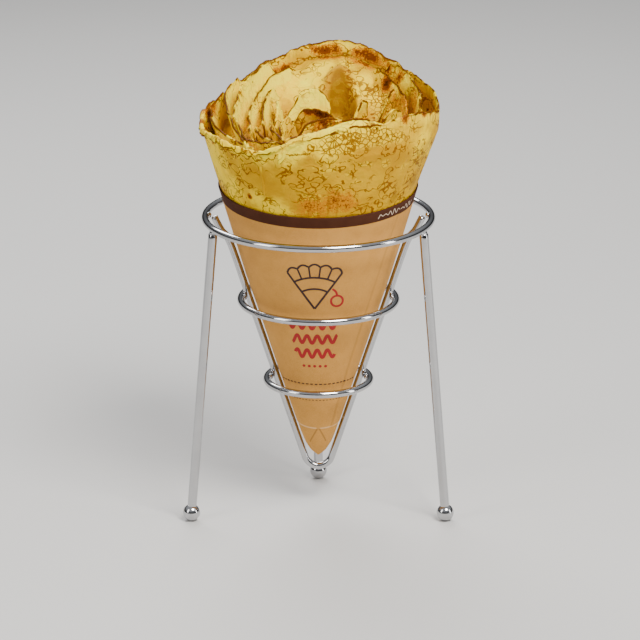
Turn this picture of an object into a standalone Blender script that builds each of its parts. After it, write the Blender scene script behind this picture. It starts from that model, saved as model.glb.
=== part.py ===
"""A rolled crepe in a paper cone, held upright by a chromed wire stand.

Metres, +Z up. The origin is on the floor, under the axis of the stand's rings, and -Y is the
front. Lengths below are written in millimetres and angles in degrees. An angle about the axis
runs from 0 at the front through 90 at +X and 180 at the back.
"""
import math

import bmesh
import bpy
from mathutils import Vector

MM = 0.001
GAP = 0.3                   # left between pieces that touch

# Stand
WIRE_RADIUS = 2.0
LEG_RADIUS = 2.5
RINGS = {                   # centreline radius, height, segments
    "ring_top": (61.5, 167.0, 56),
    "ring_middle": (42.4, 120.2, 44),
    "ring_lower": (28.4, 74.4, 36),
}
RING_SIDES = 8
ROD_BEVEL = 2               # makes a rod's section round enough
CONE_WIRE_Y = 3.0           # the bent wire stands in one plane, a little behind the axis
CONE_WIRE_LOW = 22.3        # its lowest point
CONE_WIRE_SLOPE = 0.33      # half-width gained for each unit of height
CONE_WIRE_START = -1.9      # half-width that its straight sides would have at the floor
CONE_WIRE_ENDS = ((47.9, 151.0), (52.8, 158.5), (56.9, 167.0))   # half-width and height, upwards
CONE_WIRE_BEND_STEPS = 14
FRONT_LEG_TOP = (56.6, -24.0)
FRONT_FOOT = (69.7, -24.0)
REAR_LEG_TOP = (0.0, 61.5)
REAR_FOOT = (0.0, 44.0)
LEG_TOP_GAP = 0.5           # from a leg's flat top to the top ring's lowest line
FOOT_RADIUS = 4.8
FOOT_CENTRE = 4.6           # lower than the radius, so that each ball has a flat to stand on
FOOT_SEGMENTS = 18
FOOT_RINGS = 12

# Paper
PAPER_WALL = 0.7
PAPER_TIP_WALL = 1.1        # upwards through the folded tip, which is several layers thick
PAPER_CREASE = 35.0         # the paper's edges are sharp where it bends by more than this
PAPER_OUTLINE = (           # outer radius and height, from the rim to the blunt folded tip
    (54.5, 185.5), (39.9, 136.0), (25.0, 90.0), (9.9, 44.0), (7.5, 38.0), (4.7, 33.5), (0.0, 29.8),
)
PAPER_SEGMENTS = 72
RIM_TILT = 0.075            # the rim is cut higher at the back than at the front
RIM_TILT_FROM = 136.0

# Crepe
CREPE_GAP = 0.5             # between the crepe and the paper's inner face
CREPE_LOW = 32.5
CREPE_COLUMNS = 96
WALL_HEIGHTS = (38.0, 44.0, 90.0, 136.0, 176.0)
WALL_STEPS = 5              # rows of the bare wall between the last height and the rim
TOP_ROWS = 37               # rows from the rim inwards to the axis
RIM_RADIUS = 64.2
WALL_RADII = ((176.0, 49.9), (185.0, 53.0), (217.0, 63.6), (228.0, RIM_RADIUS))
LEAN_FROM = 185.0           # above the paper the roll leans a little to the right
LEAN_TO = 225.0
LEAN_RIGHT = 1.0
RIM_HEIGHTS = (             # every 15 degrees from the front
    227.0, 232.5, 233.5, 236.0, 235.0, 231.0, 228.5, 233.5, 236.5, 240.0, 245.5, 250.0,
    249.5, 244.5, 238.5, 231.0, 225.5, 224.0, 220.5, 220.0, 221.0, 219.5, 219.5, 224.0,
)
RIM_WAVES = ((0.35, 17, 0.0), (0.25, 29, 40.0))   # height, number round the rim, where they start
VALLEY_LEVEL = 215.0        # between the folds, on the axis
VALLEY_RISE_BACK = 0.12
VALLEY_RISE_RIGHT = 0.06
HOLLOW_AT = (12.0, 22.0)
HOLLOW_SPREAD = 13.0
HOLLOW_DEPTH = 14.0
FOLD_STEPS = 24
FOLD_CREST = 1.2            # half-width of a fold's crest
FOLD_OUTER_RUN = 2.4        # a fold leans outwards, so it is steep outside and slopes inside
FOLD_LEAN = 0.32
FOLDS = (                   # angle from, angle to, radii along it, crest heights along it
    (238.0, 322.0, (59.0, 51.0, 49.5, 53.5, 60.5), (231.0, 228.0, 226.5, 223.0, 221.5)),
    (240.0, 321.0, (44.0, 45.5, 47.5, 51.0, 58.5), (236.0, 230.5, 226.5, 223.5, 222.5)),
    (204.0, 313.0, (52.0, 43.0, 38.5, 38.0, 40.0, 47.0), (236.5, 233.0, 229.0, 226.0, 223.0, 221.5)),
    (293.0, 344.0, (28.0, 35.0, 42.0, 57.0), (224.0, 223.5, 223.0, 224.0)),
    (290.0, 333.0, (15.5, 23.0, 33.0, 41.0), (226.5, 225.0, 223.5, 222.0)),
    (150.0, 244.0, (8.5, 11.5, 13.0, 17.5), (227.0, 233.5, 234.5, 226.5)),
    (-82.0, 60.0, (14.0, 8.0, 8.5, 10.0), (228.3, 229.3, 228.3, 224.5)),
    (-6.0, 65.0, (23.5, 22.0, 24.5, 32.0), (221.5, 225.5, 226.5, 227.0)),
    (-15.0, 30.0, (58.8, 58.5, 58.2, 58.0), (226.0, 232.4, 236.0, 231.0)),
    (80.0, 137.0, (53.0, 54.0, 55.5, 56.5), (231.5, 235.0, 239.3, 244.3)),
    (35.0, 62.0, (52.5, 51.5, 50.5), (233.0, 237.0, 232.5)),
    (111.0, 126.0, (36.0, 41.0, 45.5, 52.5), (225.5, 229.0, 232.0, 236.5)),
    (70.0, 112.0, (19.5, 23.0, 27.0), (229.0, 232.0, 229.0)),
    (146.0, 226.0, (57.5, 56.0, 56.0, 58.0), (241.0, 243.5, 240.5, 232.0)),
    (48.0, 84.0, (42.0, 40.0, 42.0), (226.0, 227.0, 226.0)),
)

# Colours, with roughness and metallic
CHROME = ((0.86, 0.86, 0.85), 0.12, 1.0)
KRAFT = ((0.62, 0.40, 0.20), 0.75, 0.0)
BATTER = ((0.83, 0.60, 0.15), 0.55, 0.0)


def clear_scene():
    """Remove every object that the scene starts with."""
    for old in list(bpy.data.objects):
        bpy.data.objects.remove(old, do_unlink=True)


def make_material(name, look):
    """One plain material from a colour, a roughness and a metallic value."""
    colour, roughness, metallic = look
    material = bpy.data.materials.new(name)
    material.use_nodes = True
    shader = material.node_tree.nodes["Principled BSDF"]
    shader.inputs["Base Color"].default_value = (*colour, 1.0)
    shader.inputs["Roughness"].default_value = roughness
    shader.inputs["Metallic"].default_value = metallic
    return material


def smooth_value(values, share):
    """The value at a share of the way along evenly spaced values, as a Catmull-Rom curve."""
    last = len(values) - 1
    place = min(max(share, 0.0), 1.0) * last
    first = min(int(place), last - 1)
    t = place - first
    before = values[max(first - 1, 0)]
    start = values[first]
    end = values[first + 1]
    after = values[min(first + 2, last)]
    slope_in = (end - before) / 2
    slope_out = (after - start) / 2
    bend = 3 * (end - start) - 2 * slope_in - slope_out
    twist = 2 * (start - end) + slope_in + slope_out
    return start + slope_in * t + bend * t ** 2 + twist * t ** 3


def linear_value(points, at):
    """The second number of each point, read in a straight line between the first numbers."""
    for (low, first), (high, second) in zip(points, points[1:]):
        if at <= high:
            return first + (second - first) * (at - low) / (high - low)
    return points[-1][1]


def smooth_step(share):
    """A soft step from 0 to 1."""
    share = min(max(share, 0.0), 1.0)
    return share * share * (3 - 2 * share)


def polar(angle, radius, height):
    """A point in metres from an angle about the axis, a radius and a height."""
    turn = math.radians(angle)
    return Vector((radius * math.sin(turn), -radius * math.cos(turn), height)) * MM


def link(name, data, collection, material):
    """A named object with its material, in the object's collection."""
    data.materials.append(material)
    piece = bpy.data.objects.new(name, data)
    collection.objects.link(piece)
    return piece


def make_rod(name, points, radius, collection, material):
    """A straight or bent rod with filled ends along points in millimetres."""
    curve = bpy.data.curves.new(name, "CURVE")
    curve.dimensions = "3D"
    curve.bevel_depth = radius * MM
    curve.bevel_resolution = ROD_BEVEL
    curve.use_fill_caps = True
    spline = curve.splines.new("POLY")
    spline.points.add(len(points) - 1)
    for spot, place in zip(spline.points, points):
        spot.co = (*(Vector(place) * MM), 1.0)
    return link(name, curve, collection, material)


def make_ring(name, radius, height, segments, collection, material):
    """A closed wire ring, level, about the axis."""
    bpy.ops.mesh.primitive_torus_add(
        major_radius=radius * MM,
        minor_radius=WIRE_RADIUS * MM,
        major_segments=segments,
        minor_segments=RING_SIDES,
        location=(0.0, 0.0, height * MM),
    )
    ring = bpy.context.object
    ring.name = name
    ring.data.name = name
    ring.data.shade_smooth()
    ring.data.materials.append(material)
    for other in list(ring.users_collection):
        other.objects.unlink(ring)
    collection.objects.link(ring)
    return ring


def cone_wire_side():
    """Half-width and height along one side of the bent wire, from its lowest point up."""
    lean = math.sqrt(1 + CONE_WIRE_SLOPE ** 2)
    bend = (CONE_WIRE_SLOPE * CONE_WIRE_LOW + CONE_WIRE_START) / (lean - CONE_WIRE_SLOPE)
    end_angle = math.atan2(1.0, CONE_WIRE_SLOPE)
    side = []
    for step in range(CONE_WIRE_BEND_STEPS + 1):
        turn = end_angle * step / CONE_WIRE_BEND_STEPS
        side.append((bend * math.sin(turn), CONE_WIRE_LOW + bend * (1 - math.cos(turn))))
    return side + list(CONE_WIRE_ENDS)


def make_cone_wire(collection, material):
    """One wire bent to a V with a round bottom, whose ends meet the top ring's inner side."""
    side = cone_wire_side()
    left = [(-across, CONE_WIRE_Y, height) for across, height in reversed(side)]
    right = [(across, CONE_WIRE_Y, height) for across, height in side[1:]]
    return make_rod("cone_wire", left + right, WIRE_RADIUS, collection, material)


def make_leg_and_foot(side, top, foot, collection, material):
    """A straight leg from under the top ring down to a ball foot with a small flat."""
    ring_height = RINGS["ring_top"][1]
    leg_top = (*top, ring_height - WIRE_RADIUS - LEG_TOP_GAP)
    leg_low = (*foot, FOOT_CENTRE + FOOT_RADIUS + GAP)
    make_rod(f"leg_{side}", (leg_top, leg_low), LEG_RADIUS, collection, material)
    bpy.ops.mesh.primitive_uv_sphere_add(
        segments=FOOT_SEGMENTS,
        ring_count=FOOT_RINGS,
        radius=FOOT_RADIUS * MM,
        location=(foot[0] * MM, foot[1] * MM, FOOT_CENTRE * MM),
    )
    ball = bpy.context.object
    ball.name = f"foot_{side}"
    ball.data.name = ball.name
    for corner in ball.data.vertices:
        corner.co.z = max(corner.co.z, -FOOT_CENTRE * MM)
    ball.data.shade_smooth()
    ball.data.materials.append(material)
    for other in list(ball.users_collection):
        other.objects.unlink(ball)
    collection.objects.link(ball)


def tilt_rim(place):
    """Slide a point of the paper near its rim along the cone, up at the back, down at the front."""
    (rim_radius, rim), (low_radius, low) = PAPER_OUTLINE[:2]
    share = max(place.z / MM - RIM_TILT_FROM, 0.0) / (rim - RIM_TILT_FROM)
    rise = RIM_TILT * place.y * share
    radius = math.hypot(place.x, place.y)
    widen = 1 + rise * (rim_radius - low_radius) / (rim - low) / radius if radius > 0 else 1.0
    return Vector((place.x * widen, place.y * widen, place.z + rise))


def make_paper(collection, material):
    """The paper cone: a thin turned shell, closed at its tip and open at its rim."""
    outer = [Vector((radius, 0.0, height)) for radius, height in PAPER_OUTLINE]
    inner = [Vector((radius - PAPER_WALL, 0.0, height)) for radius, height in PAPER_OUTLINE[:-1]]
    inner.append(Vector((0.0, 0.0, PAPER_OUTLINE[-1][1] + PAPER_TIP_WALL)))
    profile = list(reversed(inner)) + outer
    mesh = bpy.data.meshes.new("paper_sleeve")
    edges = [(index, index + 1) for index in range(len(profile) - 1)]
    mesh.from_pydata([place * MM for place in profile], edges, [])
    paper = link("paper_sleeve", mesh, collection, material)
    screw = paper.modifiers.new("Turn", "SCREW")
    screw.steps = PAPER_SEGMENTS
    screw.render_steps = PAPER_SEGMENTS
    screw.use_merge_vertices = True
    screw.merge_threshold = 0.00005
    turned = bpy.data.meshes.new_from_object(paper.evaluated_get(bpy.context.evaluated_depsgraph_get()))
    paper.modifiers.clear()
    paper.data = turned
    turned.name = "paper_sleeve"
    for corner in turned.vertices:
        corner.co = tilt_rim(corner.co)
    turned.shade_smooth()
    turned.set_sharp_from_angle(angle=math.radians(PAPER_CREASE))
    return paper


def paper_inner_radius(height):
    """The paper's inner radius at a height."""
    rising = [(up, radius) for radius, up in reversed(PAPER_OUTLINE)]
    return linear_value(rising, height) - PAPER_WALL


def wall_radius(height):
    """The crepe's outer radius: held by the paper below, leaning out above it."""
    if height <= WALL_RADII[0][0]:
        return paper_inner_radius(height) - CREPE_GAP
    return linear_value(WALL_RADII, height)


def rim_height(angle):
    """The outer rim's height, with a slight ragged wave."""
    closed = RIM_HEIGHTS + RIM_HEIGHTS[:1]
    wave = sum(high * math.sin(math.radians(count * angle + start)) for high, count, start in RIM_WAVES)
    return smooth_value(closed, (angle % 360) / 360) + wave


def lean_right(height):
    """How far the roll has leant to the right at a height."""
    return LEAN_RIGHT * smooth_step((height - LEAN_FROM) / (LEAN_TO - LEAN_FROM))


def valley_height(x, y):
    """The level between the folds: higher at the back and the right, deep in the hollow."""
    away = math.hypot(x - HOLLOW_AT[0], y - HOLLOW_AT[1]) / HOLLOW_SPREAD
    level = VALLEY_LEVEL + VALLEY_RISE_BACK * y + VALLEY_RISE_RIGHT * x
    return level - HOLLOW_DEPTH * math.exp(-away ** 2)


def fold_line(fold):
    """Points along a fold's crest."""
    start, end, radii, crests = fold
    line = []
    for step in range(FOLD_STEPS + 1):
        share = step / FOLD_STEPS
        angle = start + (end - start) * share
        line.append(polar(angle, smooth_value(radii, share), smooth_value(crests, share)) / MM)
    return line


def fold_height(line, x, y, valley):
    """The height of one fold over a point, or the valley's where the fold doesn't reach."""
    nearest = min(line, key=lambda spot: (spot.x - x) ** 2 + (spot.y - y) ** 2)
    away = math.hypot(nearest.x - x, nearest.y - y)
    outside = math.hypot(x, y) > math.hypot(nearest.x, nearest.y)
    run = FOLD_OUTER_RUN if outside else max(FOLD_LEAN * (nearest.z - valley), FOLD_OUTER_RUN)
    return valley + (nearest.z - valley) * (1 - smooth_step((away - FOLD_CREST) / run))


def top_height(angle, radius, lines):
    """The crepe's top surface: the rim, then the folds nested inside it."""
    spot = polar(angle, radius, 0.0) / MM
    valley = valley_height(spot.x, spot.y)
    rim = rim_height(angle)
    inside = RIM_RADIUS - 2 * FOLD_CREST - radius
    height = valley + (rim - valley) * (1 - smooth_step(inside / (FOLD_LEAN * (rim - valley))))
    return max([height] + [fold_height(line, spot.x, spot.y, valley) for line in lines])


def crepe_rows(lines):
    """Rows of points round the crepe, from its low end up the wall and inwards over the top."""
    angles = [360 * column / CREPE_COLUMNS for column in range(CREPE_COLUMNS)]
    rows = [[polar(angle, wall_radius(height), height) for angle in angles] for height in WALL_HEIGHTS]
    for step in range(1, WALL_STEPS + 1):
        row = []
        for angle in angles:
            height = WALL_HEIGHTS[-1] + (rim_height(angle) - WALL_HEIGHTS[-1]) * step / WALL_STEPS
            row.append(polar(angle, wall_radius(height), height))
        rows.append(row)
    for step in range(1, TOP_ROWS):
        radius = RIM_RADIUS * (1 - step / TOP_ROWS)
        rows.append([polar(angle, radius, top_height(angle, radius, lines)) for angle in angles])
    return rows


def make_crepe(collection, material):
    """The rolled crepe as one solid, lofted row by row because every row is different."""
    lines = [fold_line(fold) for fold in FOLDS]
    shape = bmesh.new()
    rows = [[shape.verts.new(place) for place in row] for row in crepe_rows(lines)]
    low = shape.verts.new(polar(0, 0, CREPE_LOW))
    middle = shape.verts.new(polar(0, 0, top_height(0, 0, lines)))
    for column in range(CREPE_COLUMNS):
        after = (column + 1) % CREPE_COLUMNS
        shape.faces.new((low, rows[0][after], rows[0][column]))
        for under, over in zip(rows, rows[1:]):
            shape.faces.new((under[column], under[after], over[after], over[column]))
        shape.faces.new((rows[-1][column], rows[-1][after], middle))
    for corner in shape.verts:
        corner.co.x += lean_right(corner.co.z / MM) * MM
    mesh = bpy.data.meshes.new("crepe")
    shape.to_mesh(mesh)
    shape.free()
    mesh.shade_smooth()
    return link("crepe", mesh, collection, material)


def main():
    """Build every piece, each in the one collection."""
    clear_scene()
    collection = bpy.data.collections.new("crepe_in_cone_stand")
    bpy.context.scene.collection.children.link(collection)
    chrome = make_material("chrome", CHROME)
    make_crepe(collection, make_material("batter", BATTER))
    make_paper(collection, make_material("kraft", KRAFT))
    for name, (radius, height, segments) in RINGS.items():
        make_ring(name, radius, height, segments, collection, chrome)
    make_cone_wire(collection, chrome)
    left_top = (-FRONT_LEG_TOP[0], FRONT_LEG_TOP[1])
    left_foot = (-FRONT_FOOT[0], FRONT_FOOT[1])
    make_leg_and_foot("left", left_top, left_foot, collection, chrome)
    make_leg_and_foot("right", FRONT_LEG_TOP, FRONT_FOOT, collection, chrome)
    make_leg_and_foot("rear", REAR_LEG_TOP, REAR_FOOT, collection, chrome)


main()
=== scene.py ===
# %% [markdown]
# A rolled crepe in its paper cone, held upright by a chromed wire stand. The solids come from the
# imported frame, at their real size and place. This lesson gives each of them its looks: thin folded
# sheets for the crepe, kraft paper with a printed band, and polished wire. Lengths below are in
# millimetres unless a line says otherwise, and angles about the axis run from 0 at the front
# through 90 on the right and 180 at the back.

# %% Load the frame
import math

import bmesh
import bpy
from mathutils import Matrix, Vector, noise


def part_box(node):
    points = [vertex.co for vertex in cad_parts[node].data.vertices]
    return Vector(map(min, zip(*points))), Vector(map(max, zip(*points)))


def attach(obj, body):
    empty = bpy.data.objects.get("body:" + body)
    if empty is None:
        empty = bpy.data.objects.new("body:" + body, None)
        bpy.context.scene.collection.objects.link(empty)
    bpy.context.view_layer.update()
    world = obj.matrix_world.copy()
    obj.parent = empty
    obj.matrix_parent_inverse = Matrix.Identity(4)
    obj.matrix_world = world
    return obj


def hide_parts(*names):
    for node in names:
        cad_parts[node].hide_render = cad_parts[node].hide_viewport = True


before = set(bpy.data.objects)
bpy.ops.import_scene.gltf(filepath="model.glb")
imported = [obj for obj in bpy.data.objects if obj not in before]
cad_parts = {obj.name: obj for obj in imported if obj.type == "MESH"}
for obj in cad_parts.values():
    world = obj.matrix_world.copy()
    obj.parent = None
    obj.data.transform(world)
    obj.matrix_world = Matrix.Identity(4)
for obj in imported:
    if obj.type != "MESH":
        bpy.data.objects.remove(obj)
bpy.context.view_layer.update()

MM = 0.001
print("nodes:", sorted(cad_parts))

# %% [markdown]
# The photo was taken with a long lens from a little above. A lens close by would open the three
# rings into rounder ovals, so the camera stands far away with a narrow view, which keeps them as
# flat as they look there.

# %% Camera
LENS = 225.0
SENSOR = 36.0
CAMERA_AWAY = 2190.0
CAMERA_RISE = 17.8
LOOK_AT = Vector((0.9, 0.0, 108.0))


def add_camera():
    """A camera in front of the object, looking slightly down."""
    data = bpy.data.cameras.new("camera")
    data.lens = LENS
    data.sensor_width = SENSOR
    camera = bpy.data.objects.new("camera", data)
    bpy.context.scene.collection.objects.link(camera)
    rise = math.radians(CAMERA_RISE)
    camera.location = (LOOK_AT + Vector((0, -math.cos(rise), math.sin(rise))) * CAMERA_AWAY) * MM
    camera.rotation_euler = (math.radians(90) - rise, 0, 0)
    bpy.context.scene.camera = camera
    return camera


camera = add_camera()
print("camera at", [round(v, 3) for v in camera.location])

# %% [markdown]
# A material is a tree of nodes. In the editor each node is dragged and wired by hand. In a script the
# same tree is easier to read when a node is made in one line, with its inputs given by name, and
# when the arithmetic has plain names such as times and plus.

# %% Helpers for node trees


def add_node(tree, kind, values=None, **settings):
    """Add a node, set its properties and its inputs; a socket given as a value is linked."""
    made = tree.nodes.new(kind)
    for key, value in settings.items():
        setattr(made, key, value)
    for key, value in (values or {}).items():
        if isinstance(value, bpy.types.NodeSocket):
            tree.links.new(value, made.inputs[key])
        else:
            made.inputs[key].default_value = value
    return made


def new_material(name):
    """An empty material with a Principled shader, and the tree it lives in."""
    material = bpy.data.materials.new(name)
    material.use_nodes = True
    tree = material.node_tree
    return material, tree, tree.nodes["Principled BSDF"]


def set_shader(shader, **values):
    """Set plain inputs of a shader; an underscore stands for a blank in an input's name."""
    for name, value in values.items():
        shader.inputs[name.replace("_", " ")].default_value = value


def read_attribute(tree, name):
    """A number kept on the mesh."""
    return add_node(tree, "ShaderNodeAttribute", attribute_name=name).outputs["Fac"]


# %% [markdown]
# Colours and noises are put together by arithmetic. A soft step turns a noise into patches with
# clear edges, a product shows one pattern only where another allows it, and clamping keeps every
# share between 0 and 1, so that no mix overshoots.

# %% Arithmetic in a node tree


def math_value(tree, operation, first, second=0.0, clamp=True):
    """One step of arithmetic, kept between 0 and 1 unless clamp is off."""
    values = {0: first, 1: second}
    return add_node(tree, "ShaderNodeMath", values, operation=operation, use_clamp=clamp).outputs[0]


def times(tree, first, second):
    """The product of two shares."""
    return math_value(tree, "MULTIPLY", first, second)


def plus(tree, first, second):
    """The plain sum of two values, which may pass 1."""
    return math_value(tree, "ADD", first, second, clamp=False)


def larger(tree, first, second):
    """The larger of two shares."""
    return math_value(tree, "MAXIMUM", first, second)


def one_less(tree, value):
    """One less a share: what the share leaves over."""
    return math_value(tree, "SUBTRACT", 1.0, value)


def vector_value(tree, operation, first, second):
    """One step of arithmetic on two vectors."""
    return add_node(tree, "ShaderNodeVectorMath", {0: first, 1: second}, operation=operation).outputs[0]


def scaled(tree, vector, scale):
    """A vector times a number."""
    values = {0: vector, "Scale": scale}
    return add_node(tree, "ShaderNodeVectorMath", values, operation="SCALE").outputs[0]


def step_value(tree, value, low, high):
    """0 below the low limit and 1 above the high one, softly."""
    limits = {"Value": value, "From Min": low, "From Max": high}
    return add_node(tree, "ShaderNodeMapRange", limits, interpolation_type="SMOOTHSTEP").outputs[0]


# %% [markdown]
# Patterns live in object coordinates, so that they stay on a piece when it is moved. Bump only
# bends the light: it is right for grain too fine to model, and every larger form here is mesh.

# %% Noise, colour and bump


def millimetres(tree):
    """Object coordinates in millimetres."""
    return scaled(tree, add_node(tree, "ShaderNodeTexCoord").outputs["Object"], 1 / MM)


def noise_value(tree, place, scale, detail=2.0, roughness=0.5, shift=0.0):
    """Noise between 0 and 1; the scale is in waves for each millimetre."""
    if shift:
        place = vector_value(tree, "ADD", place, (shift, -shift, shift))
    values = {"Vector": place, "Scale": scale, "Detail": detail, "Roughness": roughness}
    return add_node(tree, "ShaderNodeTexNoise", values).outputs["Fac"]


def mix_colour(tree, share, first, second):
    """Mix two colours by a share."""
    mixer = add_node(tree, "ShaderNodeMix", {"Factor": share}, data_type="RGBA")
    for socket, value in (("A", first), ("B", second)):
        target = [i for i in mixer.inputs if i.name == socket and i.type == "RGBA"][0]
        if isinstance(value, bpy.types.NodeSocket):
            tree.links.new(value, target)
        else:
            target.default_value = (*value, 1.0)
    return [o for o in mixer.outputs if o.type == "RGBA"][0]


def add_bump(tree, shader, height, strength, distance, under=None):
    """Give the shader a relief; the distance is in metres."""
    values = {"Height": height, "Strength": strength, "Distance": distance}
    if under is not None:
        values["Normal"] = under
    bump = add_node(tree, "ShaderNodeBump", values)
    tree.links.new(bump.outputs["Normal"], shader.inputs["Normal"])
    return bump.outputs["Normal"]


# %% [markdown]
# Chrome is a mirror, so nearly all of its look is the studio round it. A perfectly even mirror looks
# computed, so faint smears break it: a slow change of roughness and of tint along the wire.

# %% Chrome
CHROME_BRIGHT = (0.54, 0.54, 0.55)
CHROME_DULL = (0.44, 0.44, 0.45)
CHROME_CLEAN = 0.05                 # roughness where it is clean, and where it is smeared
CHROME_SMEARED = 0.13


def chrome_material():
    """Polished chrome with faint smears."""
    material, tree, shader = new_material("polished_chrome")
    place = millimetres(tree)
    smear = noise_value(tree, place, 0.12, 3.0)
    limits = {"Value": smear, "To Min": CHROME_CLEAN, "To Max": CHROME_SMEARED}
    rough = add_node(tree, "ShaderNodeMapRange", limits).outputs[0]
    tree.links.new(rough, shader.inputs["Roughness"])
    tree.links.new(mix_colour(tree, smear, CHROME_BRIGHT, CHROME_DULL), shader.inputs["Base Color"])
    set_shader(shader, Metallic=1.0)
    add_bump(tree, shader, noise_value(tree, place, 1.5, 2.0), 0.05, 0.00005)
    return material


CHROME = chrome_material()
print("made", CHROME.name)

# %% [markdown]
# The paper is brown kraft: short fibres, a slightly mottled tan, and no shine. The dark band below
# the rim is printed. A texture plate could carry it, but the rim slants, so the mesh carries a number
# instead, the distance below the rim, and the material turns it into ink. That keeps the band
# parallel to the rim. A second number marks creases: a painted highlight on a fold's lit edge and
# painted shade beside it.

# %% Kraft paper
BAND_WIDTH = 7.2
BAND_BLUR = 0.25                    # how far the band's edge wanders and fades
BAND_BROWN = (0.042, 0.011, 0.004)
BAND_FADED = (0.085, 0.028, 0.012)
KRAFT_LIGHT = (0.63, 0.30, 0.062)
KRAFT_DARK = (0.50, 0.225, 0.042)
KRAFT_FIBRE = (0.68, 0.345, 0.085)
KRAFT_FLECK = (0.25, 0.13, 0.05)
KRAFT_PAINTED_HIGHLIGHT = (0.86, 0.60, 0.32)     # painted highlight along the flap's lit edge
KRAFT_PAINTED_SHADE = (0.24, 0.10, 0.025)   # painted shade in the tip's folds and beside the seam


def creased(tree, paper):
    """The paper's colour with a painted highlight and painted shade where the mesh marks a crease."""
    crease = read_attribute(tree, "crease")
    # painted highlight on the flap's lit edge, painted shade in the folds and beside the seam
    wear_and_painted_highlight = times(tree, step_value(tree, crease, 0.1, 1.0), 0.7)
    painted_shade = times(tree, step_value(tree, crease, -0.1, -0.9), 0.6)
    return mix_colour(tree, painted_shade, mix_colour(tree, wear_and_painted_highlight, paper, KRAFT_PAINTED_HIGHLIGHT), KRAFT_PAINTED_SHADE)


def kraft_material():
    """Kraft paper with a printed brown band below its rim."""
    material, tree, shader = new_material("kraft_paper")
    place = millimetres(tree)
    mottle = noise_value(tree, place, 0.09, 4.0, 0.6)
    fibre = noise_value(tree, place, 2.2, 6.0, 0.75)
    fleck = step_value(tree, noise_value(tree, place, 3.5, 2.0, 0.5, 7.0), 0.63, 0.72)
    paper = mix_colour(tree, step_value(tree, mottle, 0.25, 0.8), KRAFT_LIGHT, KRAFT_DARK)
    paper = mix_colour(tree, step_value(tree, fibre, 0.35, 0.75), paper, KRAFT_FIBRE)
    paper = mix_colour(tree, times(tree, fleck, 0.35), paper, KRAFT_FLECK)
    below = plus(tree, read_attribute(tree, "below_rim"), times(tree, fibre, BAND_BLUR))
    printed = one_less(tree, step_value(tree, below, BAND_WIDTH, BAND_WIDTH + BAND_BLUR))
    ink = mix_colour(tree, mottle, BAND_BROWN, BAND_FADED)
    tree.links.new(mix_colour(tree, printed, creased(tree, paper), ink), shader.inputs["Base Color"])
    set_shader(shader, Roughness=0.78, Specular_IOR_Level=0.12)
    add_bump(tree, shader, fibre, 0.25, 0.0001)
    return material


def ink_material(name, colour):
    """Flat printing ink, worn thin where the fibres stand up."""
    material, tree, shader = new_material(name)
    wear_and_painted_highlight = noise_value(tree, millimetres(tree), 2.2, 4.0, 0.7)
    thin = tuple(0.85 * c + 0.018 for c in colour)
    faded = mix_colour(tree, step_value(tree, wear_and_painted_highlight, 0.45, 0.8), colour, thin)
    tree.links.new(faded, shader.inputs["Base Color"])
    set_shader(shader, Roughness=0.7)
    return material


KRAFT = kraft_material()
INK_BROWN = ink_material("ink_brown", (0.026, 0.006, 0.004))
INK_RED = ink_material("ink_red", (0.37, 0.0, 0.0))
INK_CREAM = ink_material("ink_cream", (0.62, 0.47, 0.34))
print("made", KRAFT.name, "and three inks")

# %% [markdown]
# The crepe's surface tells how it was baked. The batter is golden; where it barely touched the hot
# plate it stays pale or cream. Deep in the roll and just above the paper's rim it is given painted
# shade in dark golden. Painting a picture of it would fix one view, so slow noises vary it all over,
# and numbers kept on the mesh say where a place is pale, toasted or bubbly, where light or shade is
# painted, and how far it lies from the sheet's free edge.

# %% Crepe: batter
GOLDEN = (0.65, 0.365, 0.0)
DEEP_GOLDEN = (0.52, 0.262, 0.0)
# painted shade, deep in the roll and just above the paper's rim
PAINTED_SHADE_GOLDEN = (0.30, 0.135, 0.0)
PALE = (1.0, 0.69, 0.0)
CREAM = (1.0, 0.81, 0.02)
BEND_REACH = 7.0                    # how far a pattern is pushed out of place
BEND_SQUASH = (1.0, 1.0, 1.35)      # and its loops are pressed flat


def centred(tree, value, reach):
    """Noise moved to lie about 0, times a reach."""
    moved = math_value(tree, "SUBTRACT", value, 0.5, clamp=False)
    return math_value(tree, "MULTIPLY", moved, reach, clamp=False)


def bent_place(tree, place):
    """Coordinates pushed about by noise, and the push by itself."""
    push = add_node(tree, "ShaderNodeTexNoise", {"Vector": place, "Scale": 0.15, "Detail": 2.0})
    push = scaled(tree, vector_value(tree, "SUBTRACT", push.outputs["Color"], (0.5, 0.5, 0.5)), BEND_REACH)
    return vector_value(tree, "MULTIPLY", vector_value(tree, "ADD", place, push), BEND_SQUASH), push


def batter_values(tree):
    """The places, noises and mesh marks that the crepe's patterns share."""
    place = millimetres(tree)
    bent, push = bent_place(tree, place)
    marked = math_value(tree, "ABSOLUTE", read_attribute(tree, "pale"), clamp=False)
    quiet = times(tree, step_value(tree, marked, 0.45, 1.0), 0.8)
    return {
        "place": place,
        "bent": bent,
        "push": push,
        "slow": noise_value(tree, place, 0.045, 3.0, 0.55),
        "middling": noise_value(tree, place, 0.16, 3.0, 0.6, 3.0),
        "fine": noise_value(tree, place, 1.1, 4.0, 0.65, 5.0),
        "patch": noise_value(tree, place, 0.05, 2.0, 0.5, 11.0),
        "other_patch": noise_value(tree, place, 0.06, 2.0, 0.5, 17.0),
        "wandering": noise_value(tree, bent, 0.085, 1.0, 0.4, 31.0),
        "down": read_attribute(tree, "from_edge"),
        "lively": one_less(tree, quiet),
    }


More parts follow.
